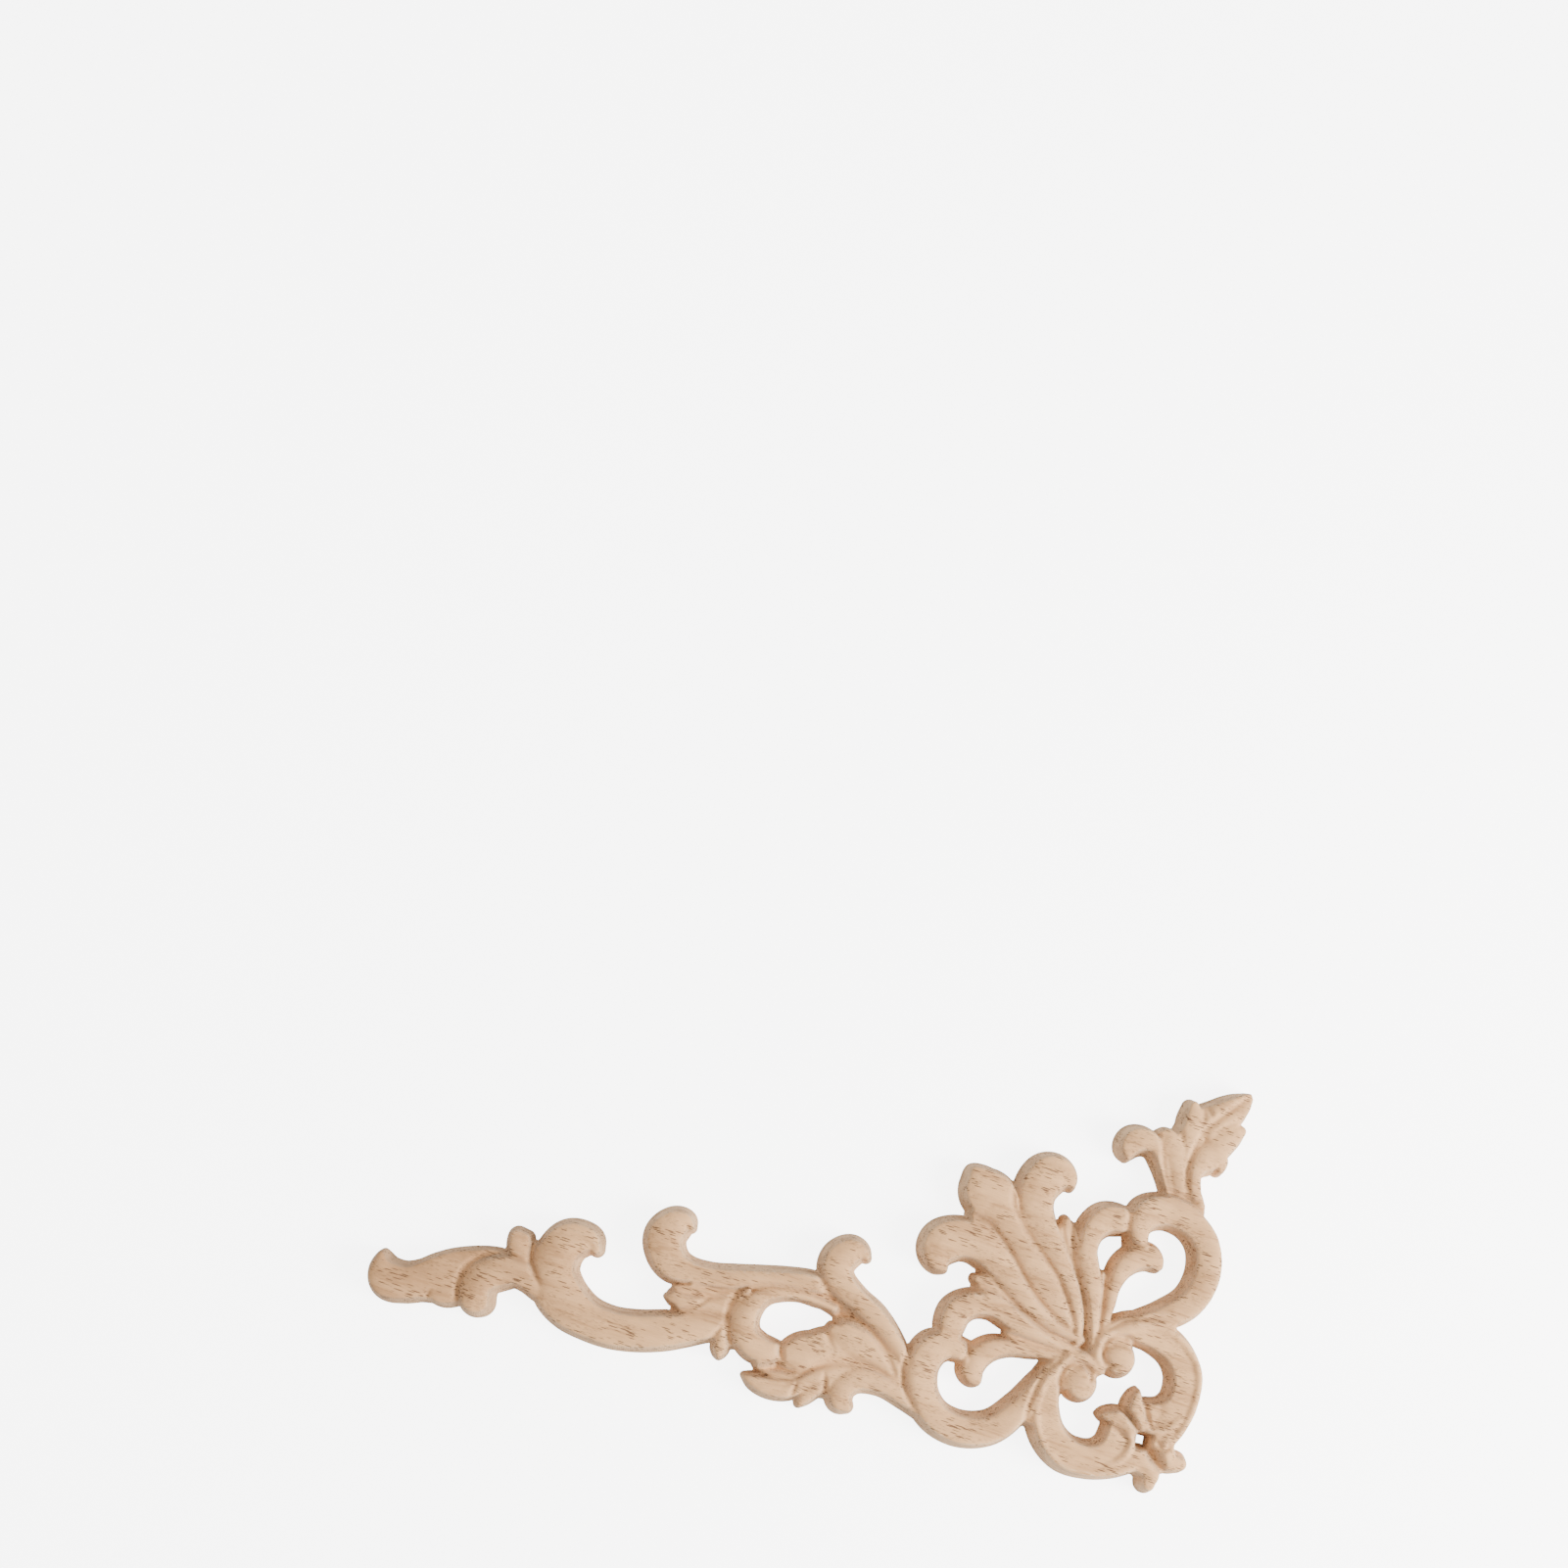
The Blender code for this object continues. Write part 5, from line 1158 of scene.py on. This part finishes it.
@dataclass(frozen=True)
class HandWork:
    """The unevenness that cutting and sanding leave in the carved face.

    Attributes:
        waviness: how far the face wanders in and out.
        wave_size: size of its waves.
        chatter: depth of the ripples on a slope.
        chatter_pitch: distance between those ripples.
        foot: height below which nothing moves, so that the outline and the back stay true.
        seed: picks the pattern.
    """

    waviness: float = 0.00014
    wave_size: float = 0.0035
    chatter: float = 0.00005
    chatter_pitch: float = 0.0014
    foot: float = 0.0004
    seed: int = 7

    def tree(self) -> bpy.types.NodeTree:
        """Make the geometry tree that moves the face along its normals.

        Returns:
            The tree.
        """
        tree = bpy.data.node_groups.new("hand work", "GeometryNodeTree")
        sockets = (
            ("Geometry", "Geometry"), ("Waviness", "Float"), ("Wave Size", "Float"), ("Chatter", "Float"),
            ("Chatter Pitch", "Float"), ("Foot", "Float"), ("Seed", "Int"), ("Material", "Material"),
        )
        for name, kind in sockets:
            tree.interface.new_socket(name=name, in_out="INPUT", socket_type="NodeSocket" + kind)
        tree.interface.new_socket(name="Geometry", in_out="OUTPUT", socket_type="NodeSocketGeometry")
        graph = Graph(tree)
        given = graph.add("NodeGroupInput").outputs
        position = graph.add("GeometryNodeInputPosition").outputs[0]
        normal = graph.add("GeometryNodeInputNormal").outputs[0]
        height = graph.add("ShaderNodeSeparateXYZ", position).outputs[2]
        free = graph.math("SUBTRACT", height, given["Foot"])
        free = graph.ramp(graph.math("DIVIDE", free, given["Foot"]), *FOOT_RANGE)
        swell, ripple = (
            graph.noise(graph.stretch(position, (given[size],) * 3), seed=given["Seed"])[0]
            for size in ("Wave Size", "Chatter Pitch")
        )
        swell = graph.math("MULTIPLY", graph.math("SUBTRACT", swell, 0.5), 2.0)
        swell = graph.math("MULTIPLY", swell, given["Waviness"])
        level = graph.math("ABSOLUTE", graph.add("ShaderNodeSeparateXYZ", normal).outputs[2])
        slope = graph.ramp(level, *CHATTER_RANGE)
        ripple = graph.math("MULTIPLY", graph.math("SUBTRACT", ripple, 0.5), slope)
        ripple = graph.math("MULTIPLY", ripple, graph.math("MULTIPLY", given["Chatter"], 2.0))
        push = graph.math("MULTIPLY", graph.math("ADD", swell, ripple), free)
        offset = graph.add("ShaderNodeVectorMath", normal, operation="SCALE")
        graph.feed(offset.inputs["Scale"], push)
        moved = graph.add("GeometryNodeSetPosition", given["Geometry"])
        graph.feed(moved.inputs["Offset"], offset.outputs[0])
        real = graph.add("GeometryNodeRealizeInstances", moved.outputs[0])
        dressed = graph.add("GeometryNodeSetMaterial", real.outputs[0])
        graph.feed(dressed.inputs["Material"], given["Material"])
        graph.add("NodeGroupOutput", dressed.outputs[0])
        return tree

    def apply(self, piece: bpy.types.Object, material: bpy.types.Material) -> None:
        """Run the tree on a piece and keep its result as a plain mesh.

        Args:
            piece: the carved piece.
            material: its finish.
        """
        tree = self.tree()
        modifier = piece.modifiers.new("hand work", "NODES")
        modifier.node_group = tree
        values = {
            "Waviness": self.waviness, "Wave Size": self.wave_size, "Chatter": self.chatter,
            "Chatter Pitch": self.chatter_pitch, "Foot": self.foot, "Seed": self.seed, "Material": material,
        }
        for item in tree.interface.items_tree:
            if item.name in values:
                modifier[item.identifier] = values[item.name]
        graph = bpy.context.evaluated_depsgraph_get()
        mesh = bpy.data.meshes.new_from_object(piece.evaluated_get(graph), depsgraph=graph)
        piece.modifiers.clear()
        piece.data = mesh


def softened(height: np.ndarray, passes: int) -> np.ndarray:
    """Soften a height field, a little more with each pass.

    Args:
        height: the field.
        passes: how often to soften it.

    Returns:
        The softened field.
    """
    soft = height
    for _ in range(passes):
        for axis in (0, 1):
            soft = (np.roll(soft, 1, axis) + 2 * soft + np.roll(soft, -1, axis)) / 4
    return soft


@dataclass
class CarvedOnlay:
    """The carved piece itself.

    Attributes:
        step: distance between the points of its surface, in the drawing's millimetres.
        nose: passes that round its creases like the end of a cutter.
        least: height of its lowest wood, in millimetres.
        reach: how far a point beyond the outline may move to lie on it, in steps.
        hollow_passes: passes that give the wood around a hollow.
        edge_passes: passes that give the wood around an edge.
        deep: difference in height from the wood around it that counts as fully hollow, in millimetres.
        level: height above which hollows and edges count, so that the outer walls have none.
        sharp: angle between two faces that stays a sharp edge, in degrees.
        finish: its wood.
        work: its unevenness.
    """

    step: float = 0.3
    nose: int = 1
    least: float = 0.02
    reach: float = 1.2
    hollow_passes: int = 6
    edge_passes: int = 5
    deep: float = 0.6
    level: float = 6.0
    sharp: float = 70.0
    finish: RawWood = field(default_factory=RawWood)
    work: HandWork = field(default_factory=HandWork)

    def build(self) -> bpy.types.Object:
        """Carve, mark and dress the piece.

        Returns:
            The piece.
        """
        relief = Relief(self.step)
        height = self.bridged(relief.carve())
        rounded = np.maximum(softened(height, self.nose), self.least)
        piece = self.trimmed(relief, np.where(height > 0, rounded, height))
        self.work.apply(piece, self.finish.material())
        piece.data.shade_smooth()
        piece.data.set_sharp_from_angle(angle=math.radians(self.sharp))
        return piece

    def bridged(self, height: np.ndarray) -> np.ndarray:
        """Fill each gap that is one point wide, so that the surface never pinches down to the back.

        Args:
            height: the carving's height, 0 or less where there is no wood.

        Returns:
            The height with those gaps filled as high as their lower side.
        """
        for _ in range(3):
            sides = [np.minimum(np.roll(height, 1, axis), np.roll(height, -1, axis)) for axis in (0, 1)]
            height = np.where(height > 0, height, np.maximum(*sides))
        return height

    def faces(self, solid: np.ndarray) -> list[list[int]]:
        """Lay a face over each cell with wood at a corner, so that none lies flat on the back.

        Args:
            solid: whether there is wood at each point.

        Returns:
            The faces, as places in the flattened grid, all turned the same way.
        """
        rows, columns = np.nonzero(solid[:-1, :-1] | solid[1:, :-1] | solid[:-1, 1:] | solid[1:, 1:])
        wide = solid.shape[1]
        corners = rows * wide + columns
        cells = np.stack([corners, corners + 1, corners + wide + 1, corners + wide], axis=1)
        faces = []
        for cell, wood in zip(cells.tolist(), solid.ravel()[cells].tolist()):
            first = wood.index(True)
            a, b, c, d = cell[first:] + cell[:first]
            if sum(wood) == 1:
                faces.append([a, b, d])
            elif sum(wood) == 2 and wood[(first + 2) % 4]:
                faces += [[a, b, c], [a, c, d]]
            else:
                faces.append([a, b, c, d])
        return faces

    def trimmed(self, relief: Relief, height: np.ndarray) -> bpy.types.Object:
        """Make the surface above the back, draw its border onto the true outline and close it below.

        Args:
            relief: the carving.
            height: its height at each point.

        Returns:
            The closed piece.
        """
        solid = height > 0
        faces = self.faces(solid)
        used = np.unique(np.concatenate(faces))
        place = {spot: number for number, spot in enumerate(used.tolist())}
        y, x = np.divmod(used, solid.shape[1])
        slope_y, slope_x = np.gradient(relief.wall, self.step)
        steep = np.maximum(slope_x**2 + slope_y**2, 1.0)
        outside = ~solid & (relief.wall < 0)
        back_x = np.where(outside, relief.wall * slope_x / steep, 0.0)[y, x]
        back_y = np.where(outside, relief.wall * slope_y / steep, 0.0)[y, x]
        reach = self.step * self.reach
        spots = np.column_stack([
            relief.x[x] - np.clip(back_x, -reach, reach) - ORIGIN_X,
            relief.y[y] - np.clip(back_y, -reach, reach) - ORIGIN_Y,
            np.where(solid, height, 0.0)[y, x],
        ]) * MILLIMETRE
        mesh = bpy.data.meshes.new(NODE + "_carved")
        mesh.from_pydata(spots.tolist(), [], [[place[spot] for spot in face] for face in faces])
        self.mark(mesh, "hollow", self.hollow(relief, height)[y, x])
        self.mark(mesh, "edge", self.edge(height)[y, x])
        self.close(mesh)
        piece = bpy.data.objects.new(NODE + "_carved", mesh)
        bpy.context.scene.collection.objects.link(piece)
        return piece

    def hollow(self, relief: Relief, height: np.ndarray) -> np.ndarray:
        """Measure how deep each point of the face lies below the wood around it; the material paints shade
        there.

        Args:
            relief: the carving.
            height: its height at each point.

        Returns:
            A share from 0 to 1, and 0 down the outer walls.
        """
        wood = np.maximum(height, self.level)
        face = np.clip(relief.wall - height, 0, 1)
        return face * np.clip((softened(wood, self.hollow_passes) - wood) / self.deep, 0, 1)

    def edge(self, height: np.ndarray) -> np.ndarray:
        """Measure how sharply each point stands out.

        Args:
            height: the carving's height.

        Returns:
            A share from 0 to 1.
        """
        wood = np.maximum(height, self.level)
        return np.clip((wood - softened(wood, self.edge_passes)) / (self.deep / 2), 0, 1)

    def mark(self, mesh: bpy.types.Mesh, name: str, values: np.ndarray) -> None:
        """Keep a value at each point of the mesh.

        Args:
            mesh: the mesh.
            name: the attribute's name.
            values: one value for each point.
        """
        layer = mesh.attributes.new(name, "FLOAT", "POINT")
        layer.data.foreach_set("value", values.astype(np.float32))

    def close(self, mesh: bpy.types.Mesh) -> None:
        """Close the surface with a flat back.

        Args:
            mesh: the open surface.
        """
        bm = bmesh.new()
        bm.from_mesh(mesh)
        border = [edge for edge in bm.edges if edge.is_boundary]
        filled = bmesh.ops.triangle_fill(bm, edges=border, use_beauty=False, normal=(0.0, 0.0, -1.0))
        back = [face for face in filled["geom"] if isinstance(face, bmesh.types.BMFace)]
        bm.normal_update()
        bmesh.ops.reverse_faces(bm, faces=[face for face in back if face.normal.z > 0])
        bm.to_mesh(mesh)
        bm.free()


@dataclass(frozen=True)
class Softbox:
    """A square studio light.

    Attributes:
        place: where it stands.
        size: length of its side.
        power: how bright it is.
        colour: its colour.
    """

    place: tuple[float, float, float]
    size: float
    power: float
    colour: tuple[float, float, float]


class Lamp(Enum):
    """The studio's lights."""

    KEY = Softbox((0.56, -0.04, 0.38), 0.34, 13.0, (1.0, 0.985, 0.96))
    FILL = Softbox((-0.5, 0.3, 0.9), 0.9, 3.0, WHITE)


@dataclass
class Studio:
    """The pale floor, the soft lights and the camera.

    Attributes:
        floor_size: length of the floor's side.
        floor_drop: how far it lies below the back, so that the two never flicker.
        floor_colour: its colour.
        floor_roughness: how dull it is.
        floor_specular: how strongly it reflects.
        floor_glow: how much brighter the camera sees it, like paper lit from all round.
        target: what the lights point at.
        world: brightness of the surroundings.
        eye: where the camera stands.
        right: the picture's right, seen from the camera.
        up: the picture's top.
        photo_size: width of the photograph, in pixels.
        focal_pixels: the camera's focal length in those pixels.
        sensor: width of the camera's sensor, in millimetres.
        nearest: distance from which the camera sees.
    """

    floor_size: float = 4.0
    floor_drop: float = 0.00005
    floor_colour: tuple[float, float, float, float] = (0.93, 0.93, 0.93, 1.0)
    floor_roughness: float = 0.9
    floor_specular: float = 0.1
    floor_glow: float = 6.0
    target: tuple[float, float, float] = (-0.07, 0.02, 0.0)
    world: float = 0.78
    eye: tuple[float, float, float] = (-0.09196, 0.00315, 0.48335)
    right: tuple[float, float, float] = (0.97143, 0.23494, 0.03369)
    up: tuple[float, float, float] = (-0.23622, 0.94333, 0.23307)
    photo_size: float = 1601.0
    focal_pixels: float = 2000.0
    sensor: float = 36.0
    nearest: float = 0.01

    def build(self) -> None:
        """Set up the studio."""
        self.floor()
        for lamp in Lamp:
            self.light(lamp)
        self.surroundings()
        self.camera()

    def floor(self) -> None:
        """Lay the floor just under the piece."""
        mesh = bpy.data.meshes.new("floor")
        bm = bmesh.new()
        bmesh.ops.create_grid(bm, x_segments=1, y_segments=1, size=self.floor_size / 2)
        bmesh.ops.translate(bm, vec=(0.0, 0.0, -self.floor_drop), verts=bm.verts)
        bm.to_mesh(mesh)
        bm.free()
        floor = bpy.data.objects.new("floor", mesh)
        material = bpy.data.materials.new("pale floor")
        material.use_nodes = True
        shader = material.node_tree.nodes["Principled BSDF"]
        shader.inputs["Base Color"].default_value = self.floor_colour
        graph = Graph(material.node_tree)
        seen = graph.add("ShaderNodeLightPath").outputs["Is Camera Ray"]
        shader.inputs["Emission Color"].default_value = self.floor_colour
        graph.feed(shader.inputs["Emission Strength"], graph.math("MULTIPLY", seen, self.floor_glow))
        shader.inputs["Roughness"].default_value = self.floor_roughness
        shader.inputs["Specular IOR Level"].default_value = self.floor_specular
        mesh.materials.append(material)
        bpy.context.scene.collection.objects.link(floor)

    def light(self, lamp: Lamp) -> None:
        """Place one light.

        Args:
            lamp: which light.
        """
        box = lamp.value
        data = bpy.data.lights.new(lamp.name.lower(), "AREA")
        data.size = box.size
        data.energy = box.power
        data.color = box.colour
        light = bpy.data.objects.new(lamp.name.lower(), data)
        light.location = box.place
        away = Vector(box.place) - Vector(self.target)
        light.rotation_euler = away.to_track_quat("Z", "Y").to_euler()
        bpy.context.scene.collection.objects.link(light)

    def surroundings(self) -> None:
        """Light the scene evenly from all round."""
        world = bpy.data.worlds.new("studio")
        world.use_nodes = True
        background = world.node_tree.nodes["Background"]
        background.inputs["Color"].default_value = (*WHITE, 1.0)
        background.inputs["Strength"].default_value = self.world
        bpy.context.scene.world = world

    def camera(self) -> None:
        """Place the camera where the photograph was taken from."""
        data = bpy.data.cameras.new("camera")
        data.sensor_width = self.sensor
        data.lens = self.focal_pixels * self.sensor / self.photo_size
        data.clip_start = self.nearest
        camera = bpy.data.objects.new("camera", data)
        right, up = Vector(self.right), Vector(self.up)
        turn = Matrix((right, up, right.cross(up))).transposed()
        camera.matrix_world = Matrix.Translation(self.eye) @ turn.to_4x4()
        bpy.context.scene.collection.objects.link(camera)
        bpy.context.scene.camera = camera


def main() -> None:
    """Dress the onlay and set up the studio."""
    logging.basicConfig(level=logging.INFO, format="%(name)s: %(message)s")
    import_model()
    onlay = CarvedOnlay().build()
    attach(onlay, BODY)
    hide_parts(NODE)
    LOG.info("%s: %d faces", onlay.name, len(onlay.data.polygons))
    Studio().build()


if __name__ == "__main__":
    main()
